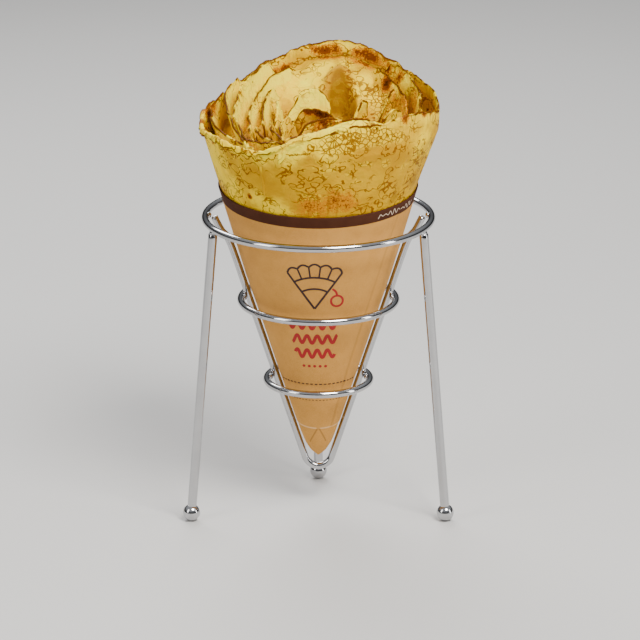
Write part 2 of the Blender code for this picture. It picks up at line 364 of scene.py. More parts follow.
def batter_colour(tree, batter):
    """Golden, painted shade in dark golden where the pale mark is below 0, and pale to cream where it is
    high.
    """
    near_edge = one_less(tree, step_value(tree, batter["down"], 1.0, 10.0))
    # the pale mark holds pale batter, painted shade below 0 and a little painted light
    pale = plus(tree, read_attribute(tree, "pale"), centred(tree, batter["middling"], 0.9))
    pale = plus(tree, pale, times(tree, near_edge, 0.45))
    colour = mix_colour(tree, step_value(tree, batter["slow"], 0.35, 0.62), DEEP_GOLDEN, GOLDEN)
    # below 0 the mark paints shade in dark golden; above 0 it turns pale, then cream
    for start, end, tint in ((-0.30, -0.95, PAINTED_SHADE_GOLDEN), (0.05, 0.75, PALE), (0.80, 1.30, CREAM)):
        colour = mix_colour(tree, step_value(tree, pale, start, end), colour, tint)
    return colour


# %% [markdown]
# Bubbles leave thin brown lines, like lace: long loops that wander over a sheet and, where the batter
# bubbled most, a net of small rings. The loops are level lines, as on a map: each shows where a noise,
# or the distance from scattered points, has one value. Plain Voronoi cells would look like scales,
# so they make only the small net. Both come in patches, and stay quiet in marked places.

# %% Crepe: lace
LACE_BROWN = (0.20, 0.058, 0.0)
WANDER_LEVEL = 0.53
FOLD_LINE_AT = 7.5                  # how far below the rim's edge a broken line runs


def near_level(tree, value, level, low, high):
    """1 where a value is within the low distance of a level, 0 past the high distance."""
    away = math_value(tree, "SUBTRACT", value, level, clamp=False)
    away = math_value(tree, "ABSOLUTE", away, clamp=False)
    return one_less(tree, step_value(tree, away, low, high))


def patchy_line(tree, value, level, low, high, patch, patch_low, patch_high):
    """A level line, shown only where a patch noise is high."""
    shown = step_value(tree, patch, patch_low, patch_high)
    return times(tree, near_level(tree, value, level, low, high), shown)


def blob_distance(tree, place, scale, smoothness):
    """Distance from scattered points, softly joined, whose level lines are closed lobed loops."""
    values = {"Vector": place, "Scale": scale, "Smoothness": smoothness}
    return add_node(tree, "ShaderNodeTexVoronoi", values, feature="SMOOTH_F1").outputs["Distance"]


def loop_lines(tree, batter):
    """Three kinds of loops: wandering ones, large lobed ones and small lobed ones."""
    patch, other_patch = batter["patch"], batter["other_patch"]
    large = blob_distance(tree, batter["bent"], 0.085, 0.35)
    small = blob_distance(tree, batter["bent"], 0.16, 0.25)
    lines = patchy_line(tree, batter["wandering"], WANDER_LEVEL, 0.008, 0.019, other_patch, 0.44, 0.52)
    lines = larger(tree, lines, patchy_line(tree, large, 0.36, 0.014, 0.034, patch, 0.40, 0.48))
    lines = larger(tree, lines, patchy_line(tree, small, 0.34, 0.028, 0.062, other_patch, 0.47, 0.53))
    return times(tree, lines, batter["lively"])


def bubbly_places(tree, batter):
    """Where small bubbles stand: beside some wandering loops, and where the mesh is marked."""
    beside = patchy_line(tree, batter["wandering"], WANDER_LEVEL, 0.020, 0.035, batter["patch"], 0.48, 0.54)
    marked = step_value(tree, read_attribute(tree, "bubbly"), 0.25, 0.7)
    return math_value(tree, "ADD", times(tree, beside, batter["lively"]), marked)


def bubble_net(tree, batter):
    """Thin lines along the edges of small Voronoi cells, bent a little."""
    gentle = vector_value(tree, "ADD", batter["place"], scaled(tree, batter["push"], 0.3))
    cells = {"Vector": gentle, "Scale": 0.36}
    edge = add_node(tree, "ShaderNodeTexVoronoi", cells, feature="DISTANCE_TO_EDGE").outputs["Distance"]
    return one_less(tree, step_value(tree, edge, 0.045, 0.12))


def fold_line(tree, batter):
    """A broken line below the outer wall's edge, where it bends over."""
    down = plus(tree, batter["down"], centred(tree, batter["middling"], 7.0))
    down = plus(tree, down, centred(tree, batter["fine"], 1.6))
    shown = times(tree, read_attribute(tree, "outside"), step_value(tree, batter["patch"], 0.36, 0.46))
    return times(tree, near_level(tree, down, FOLD_LINE_AT, 0.22, 0.55), shown)


def laced(tree, batter, colour):
    """The batter's colour with its lace, and the lace by itself for the relief."""
    bubbly = bubbly_places(tree, batter)
    colour = mix_colour(tree, times(tree, bubbly, 0.55), colour, PALE)
    lines = larger(tree, loop_lines(tree, batter), times(tree, bubble_net(tree, batter), bubbly))
    lines = larger(tree, lines, fold_line(tree, batter))
    return mix_colour(tree, times(tree, lines, 0.9), colour, LACE_BROWN), lines


# %% [markdown]
# Last comes the heat. Toast goes from orange through brown to nearly black as its number rises, each
# step with a ragged border, since the batter doesn't touch the plate evenly. Short streaks run down
# from the edges, a thin dark line follows a free edge, and a few round spots are scattered over all.

# %% Crepe: toast, edges and the whole
EDGE_BROWN = (0.13, 0.042, 0.0)
TOAST_ORANGE = (0.58, 0.215, 0.0)
TOAST_BROWN = (0.19, 0.045, 0.0)
TOAST_DARK = (0.055, 0.012, 0.001)


def toasted(tree, batter, colour):
    """Orange, brown and nearly black where the mesh is marked as toasted."""
    toast = plus(tree, read_attribute(tree, "toast"), centred(tree, batter["middling"], 0.7))
    toast = plus(tree, toast, centred(tree, batter["fine"], 1.2))
    for start, end, tint in ((0.25, 0.42, TOAST_ORANGE), (0.52, 0.60, TOAST_BROWN), (0.86, 1.02, TOAST_DARK)):
        colour = mix_colour(tree, step_value(tree, toast, start, end), colour, tint)
    return colour


def streaked(tree, batter, colour):
    """Short brown streaks below an edge and in toasted places."""
    across = add_node(tree, "ShaderNodeCombineXYZ", {"X": read_attribute(tree, "along"), "Y": batter["slow"]})
    streaks = step_value(tree, noise_value(tree, across.outputs[0], 0.55, 3.0, 0.6), 0.52, 0.66)
    short = times(tree, one_less(tree, step_value(tree, batter["down"], 1.0, 9.0)), batter["lively"])
    heat = step_value(tree, read_attribute(tree, "toast"), 0.15, 0.45)
    where = plus(tree, times(tree, short, 0.35), times(tree, heat, 0.45))
    return mix_colour(tree, times(tree, streaks, where), colour, LACE_BROWN)


def edged(tree, batter, colour):
    """A thin dark line along a free edge, broken here and there."""
    wavy = plus(tree, batter["down"], centred(tree, batter["middling"], 1.6))
    edge = one_less(tree, step_value(tree, wavy, 0.32, 1.00))
    broken = step_value(tree, noise_value(tree, batter["place"], 0.12, 2.0, 0.5, 61.0), 0.38, 0.50)
    return mix_colour(tree, times(tree, edge, broken), colour, EDGE_BROWN)


def spotted(tree, batter, colour):
    """A few small round spots."""
    spots = {"Vector": batter["bent"], "Scale": 0.085}
    away = add_node(tree, "ShaderNodeTexVoronoi", spots).outputs["Distance"]
    spot = one_less(tree, step_value(tree, away, 0.05, 0.12))
    return mix_colour(tree, times(tree, spot, 0.7), colour, TOAST_BROWN)


def crepe_material():
    """Baked batter: golden, lacy, pale or toasted, and a little see-through."""
    material, tree, shader = new_material("baked_crepe")
    batter = batter_values(tree)
    colour, lines = laced(tree, batter, batter_colour(tree, batter))
    for brown in (toasted, streaked, edged, spotted):
        colour = brown(tree, batter, colour)
    tree.links.new(colour, shader.inputs["Base Color"])
    set_shader(shader, Roughness=0.55, Specular_IOR_Level=0.05, Subsurface_Weight=0.10,
               Subsurface_Radius=(1.0, 0.45, 0.05), Subsurface_Scale=0.0012)
    waves = add_bump(tree, shader, batter["middling"], 0.7, 0.0016)
    raised = add_bump(tree, shader, lines, 0.5, 0.0003, waves)
    add_bump(tree, shader, batter["fine"], 0.35, 0.0003, raised)
    return material


CREPE = crepe_material()
print("made", CREPE.name, "with", len(CREPE.node_tree.nodes), "nodes")

# %% [markdown]
# The stand's sizes are read back from the frame instead of typed again: a ring's box gives its radius
# and the wire's thickness, so the finer pieces can't drift away from the solids they replace. Every
# finished piece gets a body to ride on, and the node it replaces is hidden.

# %% Sizes of the stand, from the frame


def middle(node):
    """The middle of a node's box, in millimetres."""
    low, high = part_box(node)
    return (Vector(low) + Vector(high)) / (2 * MM)


def size(node):
    """The size of a node's box, in millimetres."""
    low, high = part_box(node)
    return (Vector(high) - Vector(low)) / MM


RING_NAMES = ("ring_top", "ring_middle", "ring_lower")
WIRE_RADIUS = size("ring_top").z / 2
RINGS = {name: (size(name).x / 2 - WIRE_RADIUS, middle(name).z) for name in RING_NAMES}
print("rings:", {name: [round(v, 1) for v in ring] for name, ring in RINGS.items()})


def finish_piece(piece, material, node):
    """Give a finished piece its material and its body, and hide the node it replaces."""
    if material is not None:
        piece.data.materials.clear()
        piece.data.materials.append(material)
    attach(piece, "root")
    if node:
        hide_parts(node)
    print(piece.name, len(piece.data.polygons), "faces")
    return piece


def new_piece(name, mesh):
    """An object at the origin that holds a mesh."""
    piece = bpy.data.objects.new(name, mesh)
    bpy.context.scene.collection.objects.link(piece)
    return piece


def mesh_from(shape, name, smooth=True):
    """A mesh from a shape, which is used up."""
    mesh = bpy.data.meshes.new(name)
    shape.to_mesh(mesh)
    shape.free()
    if smooth:
        mesh.shade_smooth()
    return mesh


def bake(piece):
    """Turn a piece's modifiers into its plain mesh."""
    evaluated = piece.evaluated_get(bpy.context.evaluated_depsgraph_get())
    mesh = bpy.data.meshes.new_from_object(evaluated)
    piece.modifiers.clear()
    piece.data = mesh
    mesh.name = piece.name
    return piece


# %% [markdown]
# Each ring is a wire bent to a circle and welded shut. A torus would do, but all three rings are one
# rule with other sizes, so they are one Geometry Nodes tree: a circle swept by a round wire, with its
# radius, height and wire as named inputs.

# %% Rings by Geometry Nodes
RING_STEPS = 160
RING_SIDES = 28


def new_tree(name, inputs):
    """An empty Geometry Nodes tree with named inputs, and the node that gives their values."""
    tree = bpy.data.node_groups.new(name, "GeometryNodeTree")
    tree.interface.new_socket("Geometry", in_out="INPUT", socket_type="NodeSocketGeometry")
    tree.interface.new_socket("Geometry", in_out="OUTPUT", socket_type="NodeSocketGeometry")
    for label, value in inputs.items():
        kind = "NodeSocketMaterial" if value is None else "NodeSocketFloat"
        socket = tree.interface.new_socket(label, in_out="INPUT", socket_type=kind)
        if value is not None:
            socket.default_value = value
    return tree, add_node(tree, "NodeGroupInput")


def end_tree(tree, geometry, material):
    """Realize what the tree made, give it its material and hand it out."""
    real = add_node(tree, "GeometryNodeRealizeInstances", {"Geometry": geometry})
    coated = add_node(tree, "GeometryNodeSetMaterial", {"Geometry": real.outputs[0], "Material": material})
    leave = add_node(tree, "NodeGroupOutput")
    tree.links.new(coated.outputs[0], leave.inputs[0])


def run_tree(piece, tree, values):
    """Run a tree on a piece, with its inputs set by their identifiers, and keep the plain mesh."""
    modifier = piece.modifiers.new("Nodes", "NODES")
    modifier.node_group = tree
    for item in tree.interface.items_tree:
        if item.item_type == "SOCKET" and item.in_out == "INPUT" and item.name in values:
            modifier[item.identifier] = values[item.name]
    return bake(piece)


def ring_tree():
    """A level wire ring: a circle swept by a round profile; lengths in metres."""
    sizes = {"Ring radius": 0.06, "Wire radius": 0.002, "Height": 0.1, "Metal": None}
    tree, given = new_tree("wire_ring", sizes)
    circle = add_node(tree, "GeometryNodeCurvePrimitiveCircle",
                      {"Resolution": RING_STEPS, "Radius": given.outputs["Ring radius"]})
    wire = add_node(tree, "GeometryNodeCurvePrimitiveCircle",
                    {"Resolution": RING_SIDES, "Radius": given.outputs["Wire radius"]})
    swept = add_node(tree, "GeometryNodeCurveToMesh",
                     {"Curve": circle.outputs[0], "Profile Curve": wire.outputs[0]})
    lift = add_node(tree, "ShaderNodeCombineXYZ", {"Z": given.outputs["Height"]})
    placed = add_node(tree, "GeometryNodeTransform",
                      {"Geometry": swept.outputs[0], "Translation": lift.outputs[0]})
    smooth = add_node(tree, "GeometryNodeSetShadeSmooth", {"Geometry": placed.outputs[0]})
    end_tree(tree, smooth.outputs[0], given.outputs["Metal"])
    return tree


RING_TREE = ring_tree()
for name, (radius, height) in RINGS.items():
    ring = new_piece(f"wire_{name}", bpy.data.meshes.new(name))
    sizes = {"Ring radius": radius * MM, "Wire radius": WIRE_RADIUS * MM, "Height": height * MM}
    finish_piece(run_tree(ring, RING_TREE, {**sizes, "Metal": CHROME}), None, name)

# %% [markdown]
# Rods and the bent wire are drawn wire with rounded ends. A curve with a bevel would be quicker, but
# its ends are flat or open, so a tube is swept by hand along smooth points: it keeps one ring of
# corners for each step, and the last rings shrink to a rounded end.

# %% Tubes
TUBE_SIDES = 24
CAP_STEPS = 6
CAP_LENGTH = 0.6            # a rounded end's length, as a share of the tube's radius
CAP_FLAT = 0.15             # its first ring is this share of a step from the middle


def smooth_path(points, step):
    """A smooth curve through the points, with a point about every step."""
    path = []
    last = len(points) - 1
    for i in range(last):
        p0, p1, p2, p3 = points[max(i - 1, 0)], points[i], points[i + 1], points[min(i + 2, last)]
        count = max(1, round((p2 - p1).length / step))
        for k in range(count):
            t = k / count
            a = 2 * p1
            b = p2 - p0
            c = 2 * p0 - 5 * p1 + 4 * p2 - p3
            d = 3 * p1 - p0 - 3 * p2 + p3
            path.append((a + b * t + c * t * t + d * t ** 3) / 2)
    return path + [points[-1]]


def join_rows(shape, under, over, closed=True):
    """Faces between two rows of corners; in closed rows the last corner meets the first."""
    count = len(under)
    for k in range(count if closed else count - 1):
        after = (k + 1) % count
        shape.faces.new((under[k], under[after], over[after], over[k]))


def tube_rings(path, radius):
    """The middle and the width of each ring of a tube, with its rounded ends."""
    first = (path[1] - path[0]).normalized()
    last = (path[-1] - path[-2]).normalized()
    turns = [math.pi / 2 * (k + CAP_FLAT) / CAP_STEPS for k in range(CAP_STEPS)]
    cap = [(radius * CAP_LENGTH * (1 - math.cos(turn)), radius * math.sin(turn)) for turn in turns]
    rings = [(path[0] + first * inward, width) for inward, width in cap]
    rings += [(place, radius) for place in path[1:-1]]
    return rings + [(path[-1] - last * inward, width) for inward, width in reversed(cap)]


def tube_mesh(name, path, radius):
    """A tube along a path, closed by rounded ends."""
    rings = tube_rings(path, radius)
    shape = bmesh.new()
    side = Vector((0, 1, 0))
    before = None
    for index, (place, width) in enumerate(rings):
        ahead = rings[min(index + 1, len(rings) - 1)][0] - rings[max(index - 1, 0)][0]
        along = ahead.normalized()
        side = (side - along * side.dot(along)).normalized()
        other = along.cross(side)
        loop = []
        for k in range(TUBE_SIDES):
            turn = 2 * math.pi * k / TUBE_SIDES
            out = side * math.cos(turn) + other * math.sin(turn)
            loop.append(shape.verts.new((place + out * width) * MM))
        if before:
            join_rows(shape, before, loop)
        else:
            shape.faces.new(list(reversed(loop)))
        before = loop
    shape.faces.new(before)
    return mesh_from(shape, name)


# %% [markdown]
# The bent wire holds the cone from below. It is one length of wire: straight sides, a round bottom,
# and two ends that bend outwards to meet the top ring. It lies in one plane, which its box gives.
# Only the bend needs working out, as the arc that the two straight sides touch.

# %% The bent wire
CONE_WIRE_SLOPE = 0.33
CONE_WIRE_START = -1.9
CONE_WIRE_ENDS = ((47.9, 151.0), (52.8, 158.5), (56.9, 166.6))     # across and up
CONE_WIRE_STEP = 1.5
BEND_STEPS = 16
STRAIGHT_STEPS = 4


def cone_wire_points():
    """The centreline of the bent wire, from its left end round the bottom to its right end."""
    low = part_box("cone_wire")[0][2] / MM + WIRE_RADIUS
    plane = middle("cone_wire").y
    lean = math.sqrt(1 + CONE_WIRE_SLOPE ** 2)
    bend = (CONE_WIRE_SLOPE * low + CONE_WIRE_START) / (lean - CONE_WIRE_SLOPE)
    side = []
    for step in range(BEND_STEPS + 1):
        turn = math.atan2(1.0, CONE_WIRE_SLOPE) * step / BEND_STEPS
        side.append((bend * math.sin(turn), low + bend * (1 - math.cos(turn))))
    across, height = side[-1]
    for step in range(1, STRAIGHT_STEPS):
        share = step / STRAIGHT_STEPS
        side.append((across + (CONE_WIRE_ENDS[0][0] - across) * share,
                     height + (CONE_WIRE_ENDS[0][1] - height) * share))
    side += CONE_WIRE_ENDS
    left = [Vector((-a, plane, z)) for a, z in reversed(side)]
    return left + [Vector((a, plane, z)) for a, z in side[1:]]


cone_wire_path = smooth_path(cone_wire_points(), CONE_WIRE_STEP)
bent_wire = new_piece("bent_cone_wire", tube_mesh("bent_cone_wire", cone_wire_path, WIRE_RADIUS))
finish_piece(bent_wire, CHROME, "cone_wire")

# %% [markdown]
# The legs are straight rods from under the top ring down into the feet, and each foot is a solid
# ball with a small flat that stands on the floor. Running the rod right into the ball hides the
# joint, as the weld does on the real stand. A ball is a plain sphere whose lowest corners are
# pressed up to the floor.

# %% Legs and ball feet
LEG_RADIUS = 2.5
LEG_STEP = 6.0
LEG_INTO_RING = 0.2
FOOT_RADIUS = size("foot_left").x / 2
LEG_TOPS = {"left": (-56.6, -24.0), "right": (56.6, -24.0), "rear": (0.0, 61.5)}


def foot_mesh(name, centre, radius):
    """A ball foot: a sphere with a small flat below."""
    shape = bmesh.new()
    bmesh.ops.create_uvsphere(shape, u_segments=40, v_segments=28, radius=radius * MM)
    for corner in shape.verts:
        corner.co += centre * MM
        corner.co.z = max(corner.co.z, 0.0)
    return mesh_from(shape, name)


for side, (x, y) in LEG_TOPS.items():
    foot = middle(f"foot_{side}")
    top = Vector((x, y, RINGS["ring_top"][1] - WIRE_RADIUS + LEG_INTO_RING))
    rod_path = smooth_path([top, top.lerp(foot, 0.5), foot], LEG_STEP)
    rod = new_piece(f"rod_{side}", tube_mesh(f"rod_{side}", rod_path, LEG_RADIUS))
    finish_piece(rod, CHROME, f"leg_{side}")
    ball = new_piece(f"ball_{side}", foot_mesh(f"ball_{side}", foot, FOOT_RADIUS))
    finish_piece(ball, CHROME, f"foot_{side}")

# %% [markdown]
# Real stands are welded where two wires meet. A weld bead is a small smooth lump with no edge of its
# own, plated over with the rest. Each is a flattened ball with a trace of wobble, set between the two
# centrelines that it joins, and all of them together are one piece.

# %% Weld beads
LEG_BEAD = (1.9, 2.5, 1.3)  # half sizes: outwards, along the ring and up
RING_BEAD = (1.5, 1.8, 1.7)
BEAD_INSET = 1.9            # from a ring's centreline towards the wire inside it


def bead(centre, reach, turn):
    """A flattened ball as loose geometry, turned about the upright axis."""
    shape = bmesh.new()
    bmesh.ops.create_icosphere(shape, subdivisions=3, radius=1.0)
    cosine, sine = math.cos(turn), math.sin(turn)
    for corner in shape.verts:
        wobble = 1 + 0.05 * noise.noise(corner.co * 2 + centre)
        x, y, z = (corner.co.x * reach[0], corner.co.y * reach[1], corner.co.z * reach[2])
        corner.co = (centre + Vector((x * cosine - y * sine, x * sine + y * cosine, z)) * wobble) * MM
    return shape


def join_shapes(name, shapes):
    """One mesh from several shapes."""
    whole = bmesh.new()
    for shape in shapes:
        mesh = mesh_from(shape, "part")
        whole.from_mesh(mesh)
        bpy.data.meshes.remove(mesh)
    return mesh_from(whole, name)


def weld_beads():
    """Beads under the legs' tops, at the wire's ends and where the wire meets the lower rings."""
    plane = middle("cone_wire").y
    under_ring = RINGS["ring_top"][1] - WIRE_RADIUS
    shapes = [bead(Vector((x, y, under_ring)), LEG_BEAD, math.atan2(y, x)) for x, y in LEG_TOPS.values()]
    for radius, height in RINGS.values():
        across = math.sqrt((radius - BEAD_INSET) ** 2 - plane ** 2)
        shapes += [bead(Vector((x, plane, height)), RING_BEAD, 0.0) for x in (-across, across)]
    return shapes


beads = new_piece("weld_beads", join_shapes("weld_beads", weld_beads()))
finish_piece(beads, CHROME, None)

# %% [markdown]
# Paper and crepe are rolled about one axis, so a place on them is given by its angle, radius and
# height, and is turned into x, y and z only at the end. Soft steps and humps blend one form into the
# next without an edge.

# %% Measures about the axis


def smooth_step(share):
    """A soft step from 0 to 1."""
    share = min(max(share, 0.0), 1.0)
    return share * share * (3 - 2 * share)


def hump(away, reach):
    """1 at no distance, falling softly to almost 0 at twice the reach."""
    return math.exp(-(away / reach) ** 2)


def linear_value(points, at):
    """The second number of each point, read in a straight line between the first numbers."""
    for (low, first), (high, second) in zip(points, points[1:]):
        if at <= high:
            return first + (second - first) * (at - low) / (high - low)
    return points[-1][1]


def polar(angle, radius, height):
    """A point from an angle about the axis, a radius and a height."""
    turn = math.radians(angle)
    return Vector((radius * math.sin(turn), -radius * math.cos(turn), height))


def angle_between(first, second):
    """The signed turn from one angle to another, from -180 to 180."""
    return (second - first + 180) % 360 - 180


# %% [markdown]
# The paper cone is wrapped from one sheet, so it isn't a perfect cone: it bulges a little between the
# wires, the sheet's free edge runs down it as a faint step, and its tip is folded up and glued under
# a small rounded flap. A primitive cone has none of this, so a function gives each point of the outer
# face. It starts from the solid's own outline; what it adds is under half a millimetre, but it is
# what the light catches on real paper.

# %% Paper cone: shape
PAPER_OUTLINE = (           # radius and height
    (54.5, 185.5), (39.9, 136.0), (25.0, 90.0), (9.9, 44.0), (7.5, 38.0), (4.7, 33.5), (0.6, 30.0),
)
RISING_OUTLINE = [(height, radius) for radius, height in reversed(PAPER_OUTLINE)]
PAPER_RIM = PAPER_OUTLINE[0][1]
PAPER_TIP = PAPER_OUTLINE[-1][1]
RIM_TILT = 0.075            # the rim's rise towards the back, and where the tilt begins
RIM_TILT_FROM = 136.0
SEAM_TOP = 58.0             # the angle at which the sheet's free edge starts at the rim
SEAM_TURN = 20.0            # how far it winds round on its way down
SEAM_STEP = 0.35            # how far the free edge stands proud
SEAM_REACH = 26.0           # the paper beside it sinks over this angle
FLAP_LEVEL = 51.0           # the folded tip's flap ends in an arc about this height
FLAP_ARC = 1.8
FLAP_STEP = 0.28
FLAP_SOFTNESS = 0.8
BULGE = 0.22


def paper_radius(height):
    """The paper's outer radius at a height, before the rim is tilted."""
    return linear_value(RISING_OUTLINE, height)


def past_seam(angle, height):
    """How many degrees an angle lies past the seam at a height."""
    share_down = (PAPER_RIM - height) / (PAPER_RIM - PAPER_TIP)
    return angle_between(SEAM_TOP - SEAM_TURN * share_down, angle)


def above_flap(angle, height):
    """How far a height lies above the flap's edge, which is lowest at the front."""
    return height - (FLAP_LEVEL - FLAP_ARC * math.cos(math.radians(angle)))


def paper_point(angle, height, lift=0.0):
    """A point on the paper's outer face, with its seam, its flap and its tilted rim."""
    radius = paper_radius(height)
    seam = past_seam(angle, height)
    if -SEAM_REACH < seam < 0:
        radius -= SEAM_STEP * smooth_step((seam + SEAM_REACH) / SEAM_REACH) * min(1.0, radius / 20)
    under_flap = 1 - smooth_step((above_flap(angle, height) + FLAP_SOFTNESS) / FLAP_SOFTNESS)
    radius -= FLAP_STEP * under_flap * min(1.0, radius / 5)
    turn = math.radians(angle)
    wave = noise.noise(Vector((math.sin(turn) * 1.3, math.cos(turn) * 1.3, height / 45)))
    radius -= BULGE * (1 + wave) * min(1.0, radius / 30)
    spot = polar(angle, radius + lift, height)
    rise = RIM_TILT * spot.y * max(height - RIM_TILT_FROM, 0.0) / (PAPER_RIM - RIM_TILT_FROM)
    slope = (PAPER_OUTLINE[0][0] - PAPER_OUTLINE[1][0]) / (PAPER_RIM - PAPER_OUTLINE[1][1])
    widen = 1 + rise * slope / max(radius, 1.0)
    return Vector((spot.x * widen, spot.y * widen, spot.z + rise))


print("paper rim, front and back:", [round(paper_point(a, PAPER_RIM).z, 1) for a in (0, 180)])

# %% [markdown]
# Creases are too fine to model, so they are marks: a number on the mesh, above 0 for a painted
# highlight where a fold's edge catches the light and below 0 for painted shade where it lies in shade.
# A second number is the distance below the rim, which places the printed band. Rows stand closer
# together where the shape or a mark changes fast, and Solidify adds the paper's thickness on the inside.

# %% Paper cone: marks and mesh
PAPER_WALL = 0.5
PAPER_COLUMNS = 288
RIM_ROWS = 14
RIM_ROW_STEP = 0.5
PAPER_ROWS = ((56.0, 60), (42.0, 40), (PAPER_TIP, 22))      # down to a height, in so many rows
SIDE_LENGTH = 1.045         # length down the slanting side for each millimetre of height
TIP_FOLDS = (((-0.5, 49.0), (-5.0, 40.0)), ((0.5, 49.0), (4.5, 40.5)))      # across and up, from and to
FLAP_LINE = 0.45            # how wide each kind of crease is
FOLD_LINE = 0.55
SEAM_LINE = 1.1
SEAM_SHADE_AT = 0.6         # how far beside the free edge its painted shade lies


def line_distance(spot, start, end):
    """How far a flat spot lies from a flat line."""
    along = ((spot[0] - start[0]) * (end[0] - start[0]) + (spot[1] - start[1]) * (end[1] - start[1]))
    share = min(max(along / math.dist(start, end) ** 2, 0.0), 1.0)
    return math.dist(spot, (start[0] + (end[0] - start[0]) * share, start[1] + (end[1] - start[1]) * share))


def crease_mark(angle, height):
    """Above 0 for a painted highlight on the flap's lit edge, below 0 for painted shade in the tip's folds
    and beside the seam.
    """
    radius = paper_radius(height)
    above = above_flap(angle, height)
    # painted highlight along the flap's edge
    mark = hump(above, FLAP_LINE)
    spot = (math.radians(angle_between(0.0, angle)) * radius, height)
    for start, end in TIP_FOLDS:
        mark -= 0.9 * hump(line_distance(spot, start, end), FOLD_LINE)
    if above > 0:
        # painted shade beside the seam's free edge
        beside = math.radians(past_seam(angle, height)) * radius + SEAM_SHADE_AT
        mark -= 0.5 * hump(beside, SEAM_LINE)
    return mark


def paper_heights():
    """Rows of the paper, close together at the rim, the flap and the tip."""
    rows = [PAPER_RIM - RIM_ROW_STEP * k for k in range(RIM_ROWS)]
    for end, count in PAPER_ROWS:
        start = rows[-1]
        rows += [start + (end - start) * k / count for k in range(1, count + 1)]
    return rows


def paper_mesh():
    """The paper's outer face, with its marks."""
    shape = bmesh.new()
    below = shape.verts.layers.float.new("below_rim")
    crease = shape.verts.layers.float.new("crease")
    before = None
    for height in paper_heights():
        row = []
        for column in range(PAPER_COLUMNS):
            angle = 360 * column / PAPER_COLUMNS
            corner = shape.verts.new(paper_point(angle, height) * MM)
            corner[below] = (PAPER_RIM - height) * SIDE_LENGTH
            corner[crease] = crease_mark(angle, height)
            row.append(corner)
        if before:
            for k in range(PAPER_COLUMNS):
                after = (k + 1) % PAPER_COLUMNS
                shape.faces.new((before[k], row[k], row[after], before[after]))
        before = row
    shape.faces.new(list(reversed(before)))
    return mesh_from(shape, "paper_cone")


def add_thickness(piece, thickness, side):
    """Give a sheet its thickness: -1 puts all of it inside the face, 0 half on each side."""
    wall = piece.modifiers.new("Thickness", "SOLIDIFY")
    wall.thickness = thickness * MM
    wall.offset = side
    return bake(piece)


paper = add_thickness(new_piece("paper_cone", paper_mesh()), PAPER_WALL, -1.0)
finish_piece(paper, KRAFT, "paper_sleeve")

# %% [markdown]
# The print is ink on the paper. It could be painted by a material, but thin strips of mesh keep their
# edges sharp at any distance: each stroke is laid a few hundredths of a millimetre over the paper.
# A stroke is given flat, in millimetres across and up, and then wrapped round the cone, as a
# printer's plate would be.

# %% Ink strokes
INK_LIFT = 0.06
DISC_SIDES = 18


def wrapped(across, height):
    """A point of the flat drawing, laid on the paper, in metres."""
    return paper_point(math.degrees(across / paper_radius(height)), height, INK_LIFT) * MM


def stroke(shape, points, width, closed=False):
    """A strip of ink along flat points."""
    count = len(points)
    before = None
    first = None
    for index, (x, z) in enumerate(points):
        ahead = points[(index + 1) % count] if closed else points[min(index + 1, count - 1)]
        behind = points[index - 1] if closed or index else points[0]
        dx, dz = ahead[0] - behind[0], ahead[1] - behind[1]
        length = math.hypot(dx, dz) or 1.0
        nx, nz = -dz / length * width / 2, dx / length * width / 2
        pair = (shape.verts.new(wrapped(x + nx, z + nz)), shape.verts.new(wrapped(x - nx, z - nz)))
        if before:
            shape.faces.new((before[0], before[1], pair[1], pair[0]))
        first = first or pair
        before = pair
    if closed:
        shape.faces.new((before[0], before[1], first[1], first[0]))


def arc_point(centre, radius, angle):
    """A flat point at a radius from a centre; angles from straight up, turning right."""
    turn = math.radians(angle)
    return centre[0] + radius * math.sin(turn), centre[1] + radius * math.cos(turn)


def arc_points(centre, radius, start, end, steps=40):
    """Flat points along an arc."""
    return [arc_point(centre, radius, start + (end - start) * k / steps) for k in range(steps + 1)]


def line_points(start, end, steps=16):
    """Flat points along a straight line."""
    return [(start[0] + (end[0] - start[0]) * k / steps, start[1] + (end[1] - start[1]) * k / steps)
            for k in range(steps + 1)]


def disc(shape, centre, radius):
    """A small round dot of ink."""
    rim = []
    for k in range(DISC_SIDES):
        turn = 2 * math.pi * k / DISC_SIDES
        x, z = centre[0] + radius * math.cos(turn), centre[1] + radius * math.sin(turn)
        rim.append(shape.verts.new(wrapped(x, z)))
    shape.faces.new(rim)


def print_piece(name, draw, ink):
    """A printed figure as one thin piece that faces out of the paper."""
    shape = bmesh.new()
    draw(shape)
    bmesh.ops.recalc_face_normals(shape, faces=shape.faces)
    if sum(face.normal.y for face in shape.faces) > 0:
        bmesh.ops.reverse_faces(shape, faces=shape.faces)
    return finish_piece(new_piece(name, mesh_from(shape, name, smooth=False)), ink, None)


# %% [markdown]
# The picture is a plain folded pancake seen from its side: an open fan of arcs over a point, with
# pleats and a scalloped edge, and a small cherry beside it. Arcs and lines about one point are
# enough, as in a drawing made with compasses.

# %% Printed fan and cherry
FAN_POINT = (-2.0, 126.0)
FAN_SPREAD = 34.0
FAN_RADII = (12.5, 20.0, 27.0)
FAN_LINE = 1.25
PLEAT_LINE = 1.0
PLEATS = (-0.6, -0.2, 0.2, 0.6)     # shares of the spread
LOBES = 5
LOBE_STEPS = 12
LOBE_HEIGHT = 1.8
CHERRY_AT = (10.2, 130.5)
CHERRY_RADIUS = 3.3
STALK_RADIUS = 5.0


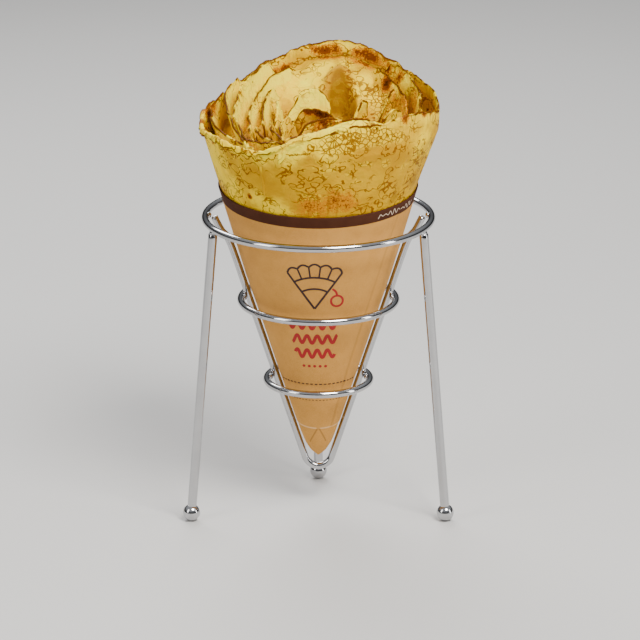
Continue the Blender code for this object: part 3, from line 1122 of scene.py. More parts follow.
def fan_picture(shape):
    """An open fan: arcs over a point, with pleats between them and a scalloped outer edge."""
    for side in (-FAN_SPREAD, FAN_SPREAD):
        stroke(shape, line_points(FAN_POINT, arc_point(FAN_POINT, FAN_RADII[-1], side)), FAN_LINE)
    for radius in FAN_RADII[:-1]:
        stroke(shape, arc_points(FAN_POINT, radius, -FAN_SPREAD, FAN_SPREAD), FAN_LINE)
    scallops = []
    for k in range(LOBES * LOBE_STEPS + 1):
        angle = -FAN_SPREAD + 2 * FAN_SPREAD * k / (LOBES * LOBE_STEPS)
        radius = FAN_RADII[-1] + LOBE_HEIGHT * abs(math.sin(math.pi * k / LOBE_STEPS))
        scallops.append(arc_point(FAN_POINT, radius, angle))
    stroke(shape, scallops, FAN_LINE)
    for share in PLEATS:
        start, end = (arc_point(FAN_POINT, radius, FAN_SPREAD * share) for radius in FAN_RADII[1:])
        stroke(shape, line_points(start, end), PLEAT_LINE)


def cherry_picture(shape):
    """A cherry on its stalk, below the fan at its right."""
    stroke(shape, arc_points(CHERRY_AT, CHERRY_RADIUS, 0, 351), FAN_LINE, closed=True)
    stalk_middle = (CHERRY_AT[0] - STALK_RADIUS, CHERRY_AT[1] + CHERRY_RADIUS)
    stroke(shape, arc_points(stalk_middle, STALK_RADIUS, 28, 90, 12), FAN_LINE)


print_piece("print_fan", fan_picture, INK_BROWN)
print_piece("print_cherry", cherry_picture, INK_RED)

# %% [markdown]
# Below the fan run three wavy red lines that get shorter with the cone, over a row of dots, and the
# brown band carries a thin cream wave towards the right. A sine gives each its height; the cream one
# swells and fades, as if written by hand.

# %% Printed waves
WAVE_ROWS = ((115.5, 28.0), (106.5, 25.0), (97.5, 22.0))    # height and width
WAVE_LENGTH = 5.6
WAVE_HEIGHT = 2.4
WAVE_LINE = 1.9
WAVE_STEPS = 120
DOT_LEVEL = 89.5
DOT_SPACING = 3.0
DOT_RADIUS = 0.85
CREAM_WAVE = (35.0, 66.0, 181.9)      # from and to across the band, and its height
CREAM_LENGTH = 3.6
CREAM_HEIGHT = 1.7
CREAM_LINE = 0.5
CREAM_STEPS = 240


def wave_picture(shape):
    """Three wavy lines that get shorter downwards, over a row of dots."""
    for level, width in WAVE_ROWS:
        points = []
        for k in range(WAVE_STEPS + 1):
            away = width * (k / WAVE_STEPS - 0.5)
            rise = WAVE_HEIGHT * math.sin(2 * math.pi * away / WAVE_LENGTH)
            points.append((FAN_POINT[0] + away, level + rise))
        stroke(shape, points, WAVE_LINE)
    for k in range(-2, 3):
        disc(shape, (FAN_POINT[0] + DOT_SPACING * k, DOT_LEVEL), DOT_RADIUS)


def band_picture(shape):
    """A small cream wave on the brown band, towards the right."""
    start, end, level = CREAM_WAVE
    points = []
    for k in range(CREAM_STEPS + 1):
        x = start + (end - start) * k / CREAM_STEPS
        swell = 0.6 + 0.4 * math.sin(x / 2.3)
        points.append((x, level + CREAM_HEIGHT * math.sin(2 * math.pi * x / CREAM_LENGTH) * swell))
    stroke(shape, points, CREAM_LINE)


print_piece("print_waves", wave_picture, INK_RED)
print_piece("print_band", band_picture, INK_CREAM)

# %% [markdown]
# Two plain borders repeat round the cone: rows of short brown dashes above and below the lower ring.
# What repeats along a line suits Geometry Nodes: they set one dash at each point of a guide line that
# lies on the paper, and turn it along the line. Each dash is a tiny block that is half sunk.

# %% Dashed borders by Geometry Nodes
GUIDE_STEPS = 60
BORDERS = {                 # height, angle to each side, spacing, dash length, dash width
    "border_low": (78.0, 64.0, 2.3, 1.5, 0.8),
    "border_lower": (67.5, 60.0, 1.9, 1.1, 0.4),
}


def dash_tree():
    """A dash at every few millimetres of a guide line, turned along it; lengths in metres."""
    sizes = {"Spacing": 0.003, "Dash length": 0.0015, "Dash width": 0.0005, "Ink": None}
    tree, given = new_tree("dashed_border", sizes)
    line = add_node(tree, "GeometryNodeMeshToCurve", {"Mesh": given.outputs["Geometry"]})
    points = add_node(tree, "GeometryNodeCurveToPoints",
                      {"Curve": line.outputs[0], "Length": given.outputs["Spacing"]}, mode="LENGTH")
    across, along = given.outputs["Dash width"], given.outputs["Dash length"]
    block = add_node(tree, "ShaderNodeCombineXYZ", {"X": across, "Y": across, "Z": along})
    dash = add_node(tree, "GeometryNodeMeshCube", {"Size": block.outputs[0]})
    dashes = add_node(tree, "GeometryNodeInstanceOnPoints",
                      {"Points": points.outputs["Points"], "Instance": dash.outputs["Mesh"],
                       "Rotation": points.outputs["Rotation"]})
    end_tree(tree, dashes.outputs[0], given.outputs["Ink"])
    return tree


def dashed_border(name, height, reach, spacing, length, width):
    """Dashes along part of a level line on the paper."""
    mesh = bpy.data.meshes.new(name)
    sunk = INK_LIFT - width / 2
    angles = [reach * (2 * k / GUIDE_STEPS - 1) for k in range(GUIDE_STEPS + 1)]
    guide = [paper_point(angle, height, sunk) * MM for angle in angles]
    mesh.from_pydata(guide, [(k, k + 1) for k in range(GUIDE_STEPS)], [])
    sizes = {"Spacing": spacing * MM, "Dash length": length * MM, "Dash width": width * MM}
    border = run_tree(new_piece(name, mesh), DASH_TREE, {**sizes, "Ink": INK_BROWN})
    finish_piece(border, None, None)


DASH_TREE = dash_tree()
for name, sizes in BORDERS.items():
    dashed_border(name, *sizes)

# %% [markdown]
# Now the crepe. A thin pancake is folded and rolled into a cone, so from above one sees nested
# walls of a sheet hardly more than a millimetre thick. Each wall leans outwards with the cone, and
# its free edge is wavy, sometimes curled over. Sculpting them one by one would be slow and hard to
# change, so each is a row of a table: where it starts and ends about the axis, how far from the axis
# it runs, and how high its edge stands on the way. A smooth curve runs through those few values.

# %% Sizes of the folds
RIM_RADIUS = 64.2
WALL_RADII = (              # height and radius of the outer wall
    (32.5, 2.0), (38.0, 6.3), (90.0, 23.8), (136.0, 38.7), (176.0, 49.9), (185.0, 53.0), (217.0, 63.6),
    (228.0, RIM_RADIUS),
)
RIM_HEIGHTS = (             # every 15 degrees from the front
    229.4, 234.4, 234.2, 236.0, 235.0, 231.0, 228.5, 233.5, 236.5, 240.0, 245.5, 250.0, 249.5, 244.5,
    238.5, 231.0, 225.5, 224.0, 220.5, 220.0, 221.0, 219.5, 219.5, 225.2,
)
FOLDS = {                   # angle from, angle to, radii, crest heights, depth, curl radius, curl turn
    "left_wall": (234.0, 330.0, (62.3, 60.0, 57.0, 57.5, 62.0),
                  (229.5, 224.0, 221.5, 220.0, 219.5), 20, 0.8, 60),
    "left_outer": (222.0, 324.0, (62.0, 56.5, 51.5, 49.5, 53.0, 61.5),
                   (234.5, 231.5, 228.0, 226.5, 223.0, 221.0), 24, 0.8, 60),
    "left_second": (204.0, 323.0, (59.0, 52.5, 47.0, 45.5, 47.0, 50.5, 60.0),
                    (240.0, 238.0, 234.5, 231.0, 226.5, 223.5, 222.0), 24, 0.9, 80),
    "left_third": (192.0, 316.0, (55.0, 46.0, 38.5, 38.0, 40.5, 49.0),
                   (239.0, 235.0, 229.5, 226.0, 223.0, 221.5), 24, 0.8, 70),
    "left_inner": (212.0, 303.0, (42.0, 35.0, 31.5, 31.5, 34.5),
                   (232.0, 229.5, 226.5, 224.0, 221.5), 20, 0.7, 60),
    "left_chamber": (228.0, 296.0, (28.0, 24.0, 23.0, 25.0), (228.0, 227.5, 225.0, 222.5), 16, 1.2, 110),
    "petal_front": (290.0, 346.0, (26.0, 34.0, 42.0, 58.5), (225.0, 223.5, 223.0, 223.5), 16, 0.7, 60),
    "front_ribbon": (300.0, 352.0, (51.0, 54.5, 57.5, 60.0), (219.5, 220.8, 222.6, 225.2), 14, 0.7, 60),
    "low_ribbon": (290.0, 340.0, (36.0, 41.5, 48.5, 56.0), (221.5, 221.6, 221.8, 222.6), 16, 0.7, 60),
    "petal_left": (286.0, 336.0, (14.5, 23.0, 33.0, 43.0), (226.5, 225.0, 223.5, 221.5), 15, 0.7, 60),
    "centre_tip": (136.0, 250.0, (8.0, 11.5, 13.0, 19.0), (225.0, 233.5, 234.5, 226.0), 20, 1.4, 120),
    "centre_front": (-88.0, 66.0, (15.0, 8.0, 8.5, 11.0), (227.5, 229.0, 228.3, 223.5), 16, 1.0, 80),
    "front_second": (-40.0, 58.0, (20.0, 15.0, 15.5, 20.0), (221.5, 225.5, 226.0, 222.5), 14, 0.8, 70),
    "front_inner": (-10.0, 70.0, (25.0, 22.0, 24.5, 34.0), (220.5, 225.5, 226.5, 226.0), 16, 0.9, 70),
    "front_third": (-32.0, 44.0, (45.0, 36.0, 34.0, 40.0), (221.0, 224.0, 226.5, 225.5), 16, 0.8, 60),
    "front_lip": (-20.0, 38.0, (60.0, 58.4, 58.0, 59.0), (225.0, 231.0, 235.6, 231.5), 22, 2.3, 225),
    "right_second": (86.0, 150.0, (46.0, 47.5, 50.0, 54.5), (226.0, 231.0, 236.0, 240.5), 26, 0.8, 50),
    "right_outer": (74.0, 141.0, (54.0, 54.0, 55.5, 57.5), (230.0, 234.5, 239.3, 244.5), 30, 0.9, 60),
    "right_torn": (34.0, 64.0, (52.5, 51.5, 50.5), (230.0, 236.0, 230.5), 18, 0.6, 40),
    "right_back": (109.0, 128.0, (33.0, 40.0, 45.5, 54.5), (224.0, 229.0, 232.0, 237.5), 22, 0.8, 60),
    "hollow_right": (66.0, 116.0, (18.0, 22.5, 27.0), (227.0, 231.5, 227.0), 20, 1.2, 80),
    "right_low": (44.0, 88.0, (43.0, 40.5, 43.0), (224.5, 226.5, 225.0), 16, 0.8, 60),
    "back_fringe": (197.0, 226.0, (64.4, 65.0, 65.0, 64.6), (232.0, 232.6, 229.0, 224.5), 9, 0.8, 50),
}


def smooth_value(values, share):
    """The value at a share of the way along evenly spaced values, as a Catmull-Rom curve."""
    last = len(values) - 1
    at = min(max(share, 0.0), 1.0) * last
    first = min(int(at), last - 1)
    t = at - first
    start, end = values[first], values[first + 1]
    slope_in = (end - values[max(first - 1, 0)]) / 2
    slope_out = (values[min(first + 2, last)] - start) / 2
    return (start + slope_in * t + (3 * (end - start) - 2 * slope_in - slope_out) * t ** 2
            + (2 * (start - end) + slope_in + slope_out) * t ** 3)


def rim_height(angle):
    """The outer rim's height at an angle."""
    return smooth_value(RIM_HEIGHTS + RIM_HEIGHTS[:1], (angle % 360) / 360)


print("folds:", len(FOLDS), "rim from", min(RIM_HEIGHTS), "to", max(RIM_HEIGHTS))

# %% [markdown]
# Browning follows the plate and not the folds, so it is given as spots in space: a place, a reach
# and a strength. Every point of every sheet adds up the spots near it. The same is done for the
# pale patches, and for the places that bubbled most. A pale strength below 0 is painted shade, in
# the deep hollow and just above the paper's rim, and a few pale patches at the right of the rim and
# low at the left are painted light where those places lie in shade.

# %% Toasted, pale and bubbly places
SPOT_END = 6.0              # past this many reaches, squared, a spot is too weak to count
TOAST_SPOTS = (             # angle, radius, height, reach, strength
    (182.0, 60.0, 244.5, 3.4, 1.3), (177.0, 60.0, 244.0, 3.6, 1.45), (171.0, 60.0, 244.5, 3.6, 1.45),
    (161.0, 60.0, 244.0, 3.4, 1.5), (155.5, 60.0, 243.0, 4.2, 1.5), (150.0, 60.0, 241.0, 4.0, 1.35),
    (143.0, 60.0, 239.5, 3.6, 1.1), (137.0, 59.0, 239.0, 3.4, 1.1), (132.0, 50.0, 232.5, 4.8, 1.1),
    (126.0, 57.0, 237.0, 4.0, 0.7), (192.0, 57.0, 240.5, 3.0, 0.7), (204.0, 64.0, 232.0, 4.0, 1.0),
    (211.0, 65.0, 231.0, 4.0, 1.0), (217.0, 65.0, 229.0, 4.0, 1.0), (197.0, 64.0, 234.0, 4.0, 0.9),
    (111.0, 49.0, 230.0, 8.0, 0.36), (98.0, 50.0, 226.0, 8.0, 0.42), (88.0, 50.0, 222.0, 7.0, 0.36),
    (102.0, 59.0, 233.0, 5.0, 0.45), (84.0, 64.0, 231.5, 3.0, 1.0), (256.0, 62.0, 222.0, 6.0, 0.6),
    (242.0, 60.0, 231.0, 4.5, 0.8), (251.0, 61.0, 228.0, 4.5, 0.8), (266.0, 60.0, 216.0, 6.0, 0.4),
    (352.0, 10.0, 228.0, 4.0, 1.0), (24.0, 10.0, 227.5, 4.0, 0.95), (320.0, 10.0, 227.5, 3.0, 0.7),
    (10.0, 16.0, 222.0, 6.0, 0.55), (35.0, 27.0, 222.0, 7.0, 0.6), (12.0, 30.0, 220.0, 6.0, 0.55),
    (200.0, 14.0, 228.0, 2.4, 0.9), (60.0, 64.5, 234.0, 2.8, 1.0), (67.0, 64.5, 233.0, 2.6, 1.0),
    (45.0, 64.0, 234.5, 3.5, 0.75), (75.0, 64.5, 231.5, 2.8, 1.0), (5.0, 56.0, 189.0, 10.0, 0.42),
    (18.0, 56.0, 190.0, 9.0, 0.36), (-8.0, 55.0, 187.0, 8.0, 0.36), (318.0, 55.0, 190.0, 1.6, 1.1),
    (270.0, 64.0, 220.0, 4.0, 0.6), (285.0, 64.0, 216.0, 2.5, 0.8), (297.0, 64.0, 216.5, 2.0, 0.8),
    (308.0, 64.0, 215.5, 2.0, 0.6),
)
# pale patches; below 0 they are painted shade, and a few are painted light in places that lie in shade
PALE_AND_PAINTED_LIGHT_SPOTS = (
    (262.0, 50.0, 226.0, 10.0, 0.7), (280.0, 50.0, 222.0, 10.0, 0.7), (300.0, 50.0, 220.0, 9.0, 0.7),
    (270.0, 36.0, 222.0, 9.0, 0.7), (228.0, 42.0, 230.0, 9.0, 0.6), (10.0, 30.0, 224.0, 9.0, 0.6),
    (-5.0, 60.0, 228.5, 6.0, 0.9), (12.0, 60.0, 233.0, 5.0, 0.9), (30.0, 60.0, 234.0, 5.0, 0.8),
    (275.0, 64.0, 219.0, 5.0, 0.8), (335.0, 64.0, 218.5, 5.0, 0.9), (350.0, 64.0, 222.0, 4.5, 0.8),
    (290.0, 60.0, 205.0, 16.0, 0.8), (305.0, 56.0, 190.0, 9.0, 0.7), (335.0, 54.0, 184.0, 9.0, 0.8),
    (322.0, 56.0, 190.0, 6.0, 0.5), (345.0, 64.0, 218.0, 8.0, 0.9), (5.0, 64.0, 220.0, 7.0, 0.7),
    (60.0, 63.0, 218.0, 12.0, 0.55), (75.0, 60.0, 205.0, 10.0, 0.4), (235.0, 50.0, 228.0, 12.0, 0.9),
    (215.0, 54.0, 233.0, 12.0, 0.9), (250.0, 46.0, 222.0, 8.0, 0.8), (205.0, 12.0, 229.0, 9.0, 0.8),
    (170.0, 12.0, 228.0, 7.0, 0.7), (255.0, 28.0, 220.0, 9.0, 0.9), (120.0, 56.0, 236.0, 7.0, 0.7),
    (100.0, 58.0, 229.0, 6.0, 0.7), (88.0, 24.0, 224.0, 8.0, 0.6), (180.0, 62.0, 248.0, 5.0, 0.9),
    (165.0, 62.0, 249.0, 5.0, 0.9), (50.0, 52.0, 228.0, 8.0, 0.8), (300.0, 60.0, 220.0, 6.0, 0.8),
    (320.0, 60.0, 219.0, 6.0, 0.8), (5.0, 60.0, 231.0, 6.0, 0.9), (20.0, 59.0, 234.0, 6.0, 0.9),
    # the last spot on the next line and the five after it, below 0, are painted shade in the deep hollow
    (325.0, 26.0, 220.0, 8.0, 0.5), (340.0, 34.0, 220.0, 8.0, 0.5), (155.0, 26.0, 212.0, 9.0, -1.6),
    (155.0, 20.0, 216.0, 6.0, -1.1), (160.0, 36.0, 218.0, 8.0, -1.4), (165.0, 42.0, 226.0, 6.5, -1.4),
    (165.0, 43.0, 233.0, 4.5, -1.2), (166.0, 45.0, 238.5, 4.0, -0.9), (235.0, 26.0, 226.0, 6.0, 0.8),
    (180.0, 37.0, 231.0, 5.0, 0.7), (149.0, 41.0, 229.0, 5.0, 0.6), (300.0, 44.0, 214.0, 8.0, 0.4),
    (176.0, 52.0, 238.0, 7.0, 0.7), (150.0, 50.0, 234.0, 7.0, 0.7), (163.0, 54.0, 241.0, 5.0, 0.6),
    # the last spot on the next line and the first two on the line after it are painted light on the shaded
    # right of the rim
    (187.0, 46.0, 234.0, 7.0, 0.6), (138.0, 42.0, 228.0, 7.0, 0.6), (95.0, 63.0, 232.0, 6.0, 1.0),
    (105.0, 63.0, 236.0, 6.0, 0.8), (86.0, 63.0, 226.0, 5.0, 0.7), (315.0, 32.0, 214.0, 7.0, 0.4),
    # on the next line the first spot is painted light in a shaded chamber at the left; its last spot and the
    # first on the line after it, below 0, are painted shade just above the paper's rim
    (262.0, 57.0, 217.0, 8.0, 0.6), (248.0, 58.0, 222.0, 7.0, 0.5), (66.0, 60.0, 194.0, 10.0, -0.9),
    (47.0, 57.0, 187.0, 7.0, -0.8), (190.0, 40.0, 232.0, 9.0, 0.8), (200.0, 46.0, 236.0, 9.0, 0.9),
    (215.0, 36.0, 228.0, 7.0, 0.8), (120.0, 34.0, 224.0, 7.0, 0.8), (135.0, 33.0, 228.0, 6.0, 0.7),
    (95.0, 26.0, 228.0, 6.0, 0.9), (245.0, 24.0, 222.0, 6.0, 1.2), (238.0, 18.0, 224.0, 6.0, 1.0),
    (330.0, 62.0, 214.0, 5.0, 0.7),
)
BUBBLE_SPOTS = (
    (5.0, 64.0, 224.0, 6.0, 1.0), (14.0, 64.0, 226.0, 6.5, 1.0), (24.0, 64.0, 228.0, 6.5, 1.0),
    (33.0, 64.0, 227.0, 6.0, 0.9), (42.0, 64.0, 225.0, 5.0, 0.7), (135.0, 46.0, 226.0, 9.0, 0.8),
    (120.0, 40.0, 220.0, 8.0, 0.6), (222.0, 46.0, 226.0, 7.0, 0.6), (165.0, 56.0, 236.0, 7.0, 0.7),
    (35.0, 62.0, 211.0, 5.0, 0.6), (330.0, 64.0, 214.0, 4.0, 0.6), (48.0, 62.0, 206.0, 4.0, 0.6),
    (15.0, 62.0, 207.0, 4.0, 0.6),
)


def spot_strength(places, spots):
    """For each place, the sum of the spots near it."""
    centres = [(polar(*spot[:3]), *spot[3:]) for spot in spots]
    values = []
    for place in places:
        total = 0.0
        for centre, reach, strength in centres:
            away = (place - centre).length_squared / (reach * reach)
            if away < SPOT_END:
                total += strength * math.exp(-away)
        values.append(total)
    return values


def bake_marks(mesh):
    """Keep the toasted, pale and bubbly marks on a mesh; the pale mark holds painted shade below 0 and some
    painted light.
    """
    places = [corner.co / MM for corner in mesh.vertices]
    for name, spots in (("toast", TOAST_SPOTS), ("pale", PALE_AND_PAINTED_LIGHT_SPOTS), ("bubbly", BUBBLE_SPOTS)):
        layer = mesh.attributes.new(name, "FLOAT", "POINT")
        layer.data.foreach_set("value", spot_strength(places, spots))


print("spots:", len(TOAST_SPOTS), "toasted,", len(PALE_AND_PAINTED_LIGHT_SPOTS), "pale,", len(BUBBLE_SPOTS), "bubbly")

# %% [markdown]
# A sheet is drawn as one section that is carried along an arc. The section starts at the free edge:
# a short flap, a curl over the crest, and then the wall going down. Along the arc three noises of
# different length ruffle the edge, slow, quick and tiny, because a baked edge waves at every scale.

# %% A sheet's section and its waves
EDGE_ROWS = 7
FLAP_ROWS = 4
SECTION_STEP = 1.1
RUFFLES = ((9.0, 0.0), (3.2, 9.5), (1.1, 21.5))     # length and shift of the slow, quick and tiny waves


def sheet_section(depth, curl, turn, flap):
    """The wall's section from its free edge: how far outwards and how far below the crest."""
    end = math.radians(turn)
    section = []
    for k in range(FLAP_ROWS, 0, -1):
        reach = flap * k / FLAP_ROWS
        section.append((curl * (1 - math.cos(end)) + reach * math.sin(end),
                        curl * (1 - math.sin(end)) - reach * math.cos(end)))
    for k in range(EDGE_ROWS, 0, -1):
        angle = end * k / EDGE_ROWS
        section.append((curl * (1 - math.cos(angle)), curl * (1 - math.sin(angle))))
    rows = max(3, round(depth / SECTION_STEP))
    section += [(0.0, curl + (depth - curl) * k / rows) for k in range(rows + 1)]
    return section


def ruffle(angle, radius, seed):
    """Slow, quick and tiny waves along a sheet's edge."""
    spot = polar(angle, radius, 0.0)
    return [noise.noise(Vector((spot.x / wave, spot.y / wave, seed + shift))) for wave, shift in RUFFLES]


def crumple(place, seed):
    """Small dents all over a sheet."""
    large = noise.noise(place / 7 + Vector((seed, 0, 0)))
    small = noise.noise(place / 2.8 + Vector((0, seed, 0)))
    return 0.7 * large + 0.3 * small


# %% [markdown]
# A fold and the outer wall differ in where the section lies. A fold leans outwards with the cone, and
# its two ends sink into the layers below, so that no cut end shows. The outer wall follows the cone's
# outline, its last stretch is tucked under its first, and its edge is turned out along the left of
# the front, as a thick soft lip.

# %% Placing a section
SHEET_THICKNESS = 1.1
LEAN = 0.32                 # how fast a fold comes inwards on its way down
LEAN_FROM = 185.0           # the whole roll leans a little to the right between these heights
LEAN_TO = 225.0
LEAN_RIGHT = 1.0
RUFFLE_FADE = 9.0           # the waves fade out this far below the edge
END_DROP = 6.5              # how far a fold's two ends sink
END_FADE = 6.0
CALM_EDGE = 0.3             # the layers at the left have smooth edges
CALM_DENTS = 0.5
FLAPS = {"crepe_front_lip": 3.4}    # this sheet is folded right over at its edge
SMALL_FLAP = 0.2
WALL_FLAP = 2.6
WALL_INSET = 0.5
LIP_FROM = 248.0            # the outer wall's edge is turned out between these angles
LIP_TO = 352.0
LIP_TURN = 105.0
TUCK_FROM = 0.86            # share of the wall's length after which it is tucked in
TUCK_OVER = 0.08
TUCK_DEPTH = 1.9
FREE_FROM = 190.0           # the wall is smooth in the paper and dented above it
FREE_OVER = 20.0
FRONT_LIMIT = size("crepe").y / 2 - SHEET_THICKNESS / 2 - 0.05


def lean_right(height):
    """How far the roll has leant to the right at a height."""
    return LEAN_RIGHT * smooth_step((height - LEAN_FROM) / (LEAN_TO - LEAN_FROM))


def wall_lip(angle):
    """How far the outer wall's edge is turned out at an angle, from 0 to 1."""
    inside = (angle % 360 - LIP_FROM) / (LIP_TO - LIP_FROM)
    return smooth_step(min(inside, 1 - inside) * 6)


def wall_radius(base, out, height, share, slow, dent):
    """The outer wall's radius: the cone's outline, tucked in at its end and dented above the paper."""
    tuck = TUCK_DEPTH * smooth_step((share - TUCK_FROM) / TUCK_OVER)
    dents = 0.45 * (slow + dent) * smooth_step((height - FREE_FROM) / FREE_OVER)
    return linear_value(WALL_RADII, height) - RIM_RADIUS + base + 0.7 * out - WALL_INSET - tuck + dents


def sheet_length(fold):
    """A sheet's length along its arc."""
    start, end, radii = fold[:3]
    return math.radians(end - start) * sum(radii) / len(radii)


def sheet_column(fold, share, seed, rough, flap, outer_wall):
    """The places of one section of a sheet, from its free edge down."""
    start, end, radii, crests, depth, curl, turn = fold
    angle = start + (end - start) * share
    base = smooth_value(radii, share)
    slow, quick, tiny = ruffle(angle, base, seed)
    quick, tiny = rough * quick, rough * tiny
    crest = smooth_value(crests, share) + 0.7 * quick + 0.5 * tiny + 0.5 * slow
    bent = turn * (0.75 + 0.5 * slow)
    flap *= 0.9 + 0.5 * quick
    if outer_wall:
        bent += LIP_TURN * wall_lip(angle)
        flap += WALL_FLAP * wall_lip(angle) * (0.7 + 0.8 * quick)
    else:
        crest -= END_DROP * (1 - smooth_step(sheet_length(fold) * min(share, 1 - share) / END_FADE))
    places = []
    for out, down in sheet_section(depth, curl, bent, flap):
        height = crest - down
        dent = crumple(polar(angle, base, height), seed)
        if outer_wall:
            radius = wall_radius(base, out, height, share, slow, dent)
        else:
            ruffled = (slow + 0.5 * quick) * math.exp(-max(down, 0.0) / RUFFLE_FADE)
            dented = 0.8 * max(rough, CALM_DENTS) * dent
            radius = base + out + ruffled - (LEAN * max(down - curl, 0.0) - dented)
        place = polar(angle, radius, height)
        place.x += lean_right(height)
        place.y = min(max(place.y, -FRONT_LIMIT), FRONT_LIMIT)
        places.append(place)
    return places


# %% [markdown]
# The sheet is the row of its sections, given a thickness to both sides by Solidify. Each corner keeps
# how far it lies from the free edge and how far along the sheet, for the material's edge line and
# streaks. Every sheet stays a piece of its own, as a fold can then be moved without its neighbours.

# %% Laying one sheet
SHEET_STEP = 0.9
FEWEST_STEPS = 20
SEED_SHIFT = 50.0           # so that no two sheets have the same streaks


def sheet_mesh(name, fold, seed, outer_wall):
    """One wall of the rolled crepe, as an open sheet."""
    length = sheet_length(fold)
    steps = max(FEWEST_STEPS, round(length / SHEET_STEP))
    rough = CALM_EDGE if name.startswith("crepe_left_") else 1.0
    shape = bmesh.new()
    from_edge = shape.verts.layers.float.new("from_edge")
    along = shape.verts.layers.float.new("along")
    outside = shape.verts.layers.float.new("outside")
    before = None
    for step in range(steps + 1):
        share = step / steps
        places = sheet_column(fold, share, seed, rough, FLAPS.get(name, SMALL_FLAP), outer_wall)
        column = [shape.verts.new(place * MM) for place in places]
        walked = 0.0
        for index, corner in enumerate(column):
            walked += (places[index] - places[max(index - 1, 0)]).length
            corner[from_edge] = walked
            corner[along] = length * share + SEED_SHIFT * seed
            corner[outside] = float(outer_wall)
        if before:
            join_rows(shape, before, column, closed=False)
        before = column
    return mesh_from(shape, name)


def add_sheet(name, fold, seed, outer_wall=False):
    """A sheet with its thickness and its marks."""
    piece = add_thickness(new_piece(name, sheet_mesh(name, fold, seed, outer_wall)), SHEET_THICKNESS, 0.0)
    bake_marks(piece.data)
    return finish_piece(piece, CREPE, "crepe")


# %% [markdown]
# The outermost wall goes all the way round and a little further, so its free end shows as a soft
# step at the back. Its top follows the rim, low on the left and high at the back. All the folds
# inside it are laid by the same function, each with a seed of its own.

# %% Outer wall and folds
WRAP_START = 205.0
WRAP_TURN = 400.0
WRAP_SAMPLES = 54
WRAP_DEPTH = 70
WRAP_CURL = 0.9
WRAP_CURL_TURN = 70
WRAP_BELOW_RIM = 0.6
FIRST_SEED = 10.0
NEXT_SEED = 3.7

wrap_angles = [WRAP_START + WRAP_TURN * k / WRAP_SAMPLES for k in range(WRAP_SAMPLES + 1)]
wrap_crests = tuple(rim_height(angle) - WRAP_BELOW_RIM for angle in wrap_angles)
outer_fold = (WRAP_START, WRAP_START + WRAP_TURN, (RIM_RADIUS, RIM_RADIUS), wrap_crests,
              WRAP_DEPTH, WRAP_CURL, WRAP_CURL_TURN)
add_sheet("crepe_outer_wall", outer_fold, 3.0, outer_wall=True)
for number, (name, fold) in enumerate(FOLDS.items()):
    add_sheet(f"crepe_{name}", fold, FIRST_SEED + NEXT_SEED * number)

# %% [markdown]
# Under the folds the layers lie pressed together, and no light gets between them, so they are one
# closed core. Its top is a height for each place: a slope that rises at the back, dented all over,
# and a deep pocket at the right of the middle. Only glimpses of it show between the sheets.

# %% The core's top
VALLEY_LEVEL = 211.0
VALLEY_RISE_BACK = 0.12
VALLEY_RISE_RIGHT = 0.06
HOLLOW_AT = (10.8, 25.0)
HOLLOW_REACH = (8.6, 16.0)  # across and front to back
HOLLOW_DEPTH = 30.0
HOLLOW_WALL_AT = 0.78       # in reaches: where its wall starts, and how wide the wall is
HOLLOW_WALL_WIDTH = 0.28
HOLLOW_LIP = 5.0            # a raised lip round it, with its crest and its width in reaches
HOLLOW_LIP_AT = 1.25
HOLLOW_LIP_WIDTH = 0.3
HOLLOW_LIP_FROM = 8.0       # the lip starts this far behind the axis, softly
HOLLOW_LIP_OVER = 10.0
BACK_BELOW_RIM = 9.0        # the back slopes up from the hollow to this far below the rim
BACK_RISE_FROM = 22.0
BACK_RISE_TO = 62.0
BACK_SOFTNESS = 40.0
LEFT_RISE = 6.0             # the layers are pressed closer together at the left
LEFT_FROM = 14.0
LEFT_FROM_OVER = 16.0
LEFT_TO = 44.0
LEFT_TO_OVER = 8.0
DENT_DEPTH = 1.2


def core_top(x, y):
    """The height of the core's top at a place."""
    radius = math.hypot(x, y)
    angle = math.degrees(math.atan2(x, -y)) % 360
    behind = smooth_step((y - 0.1 * radius) / BACK_SOFTNESS)
    valley = VALLEY_LEVEL + VALLEY_RISE_BACK * y + VALLEY_RISE_RIGHT * x
    at_left = smooth_step((-x - LEFT_FROM) / LEFT_FROM_OVER)
    at_left *= 1 - smooth_step((-x - LEFT_TO) / LEFT_TO_OVER)
    valley += LEFT_RISE * at_left * (1 - behind)
    share = behind * smooth_step((radius - BACK_RISE_FROM) / (BACK_RISE_TO - BACK_RISE_FROM))
    level = valley + max(rim_height(angle) - BACK_BELOW_RIM - valley, 0.0) * share
    away = math.hypot((x - HOLLOW_AT[0]) / HOLLOW_REACH[0], (y - HOLLOW_AT[1]) / HOLLOW_REACH[1])
    lip = HOLLOW_LIP * hump(away - HOLLOW_LIP_AT, HOLLOW_LIP_WIDTH)
    level += lip * smooth_step((y - HOLLOW_LIP_FROM) / HOLLOW_LIP_OVER)
    level -= HOLLOW_DEPTH * (1 - smooth_step((away - HOLLOW_WALL_AT) / HOLLOW_WALL_WIDTH))
    dents = crumple(Vector((x, y, 0.0)), 5.0) + 0.6 * crumple(Vector((2.2 * x, 2.2 * y, 0.0)), 8.0)
    return level + DENT_DEPTH * dents


print("hollow, down to:", round(core_top(*HOLLOW_AT), 1))

# %% [markdown]
# The core's side stays a little inside the outer wall, and its top is a polar grid: rings that shrink
# from the wall towards the axis. Its distance from any free edge is set large, so that the material
# draws no edge line on it.

# %% Core
CORE_COLUMNS = 240
CORE_ROWS = 96
CORE_INSET = 2.6
CORE_LEAST = 1.5
CORE_LEAN = 0.7             # its top follows this share of the roll's lean
CORE_HEIGHTS = (38.0, 90.0, 136.0, 176.0, 190.0, 200.0)
CORE_EDGE_AT = 58.0         # where the top is measured for its edge, and how far below that it ends
CORE_EDGE_BELOW = 4.0
FAR_FROM_EDGE = 50.0


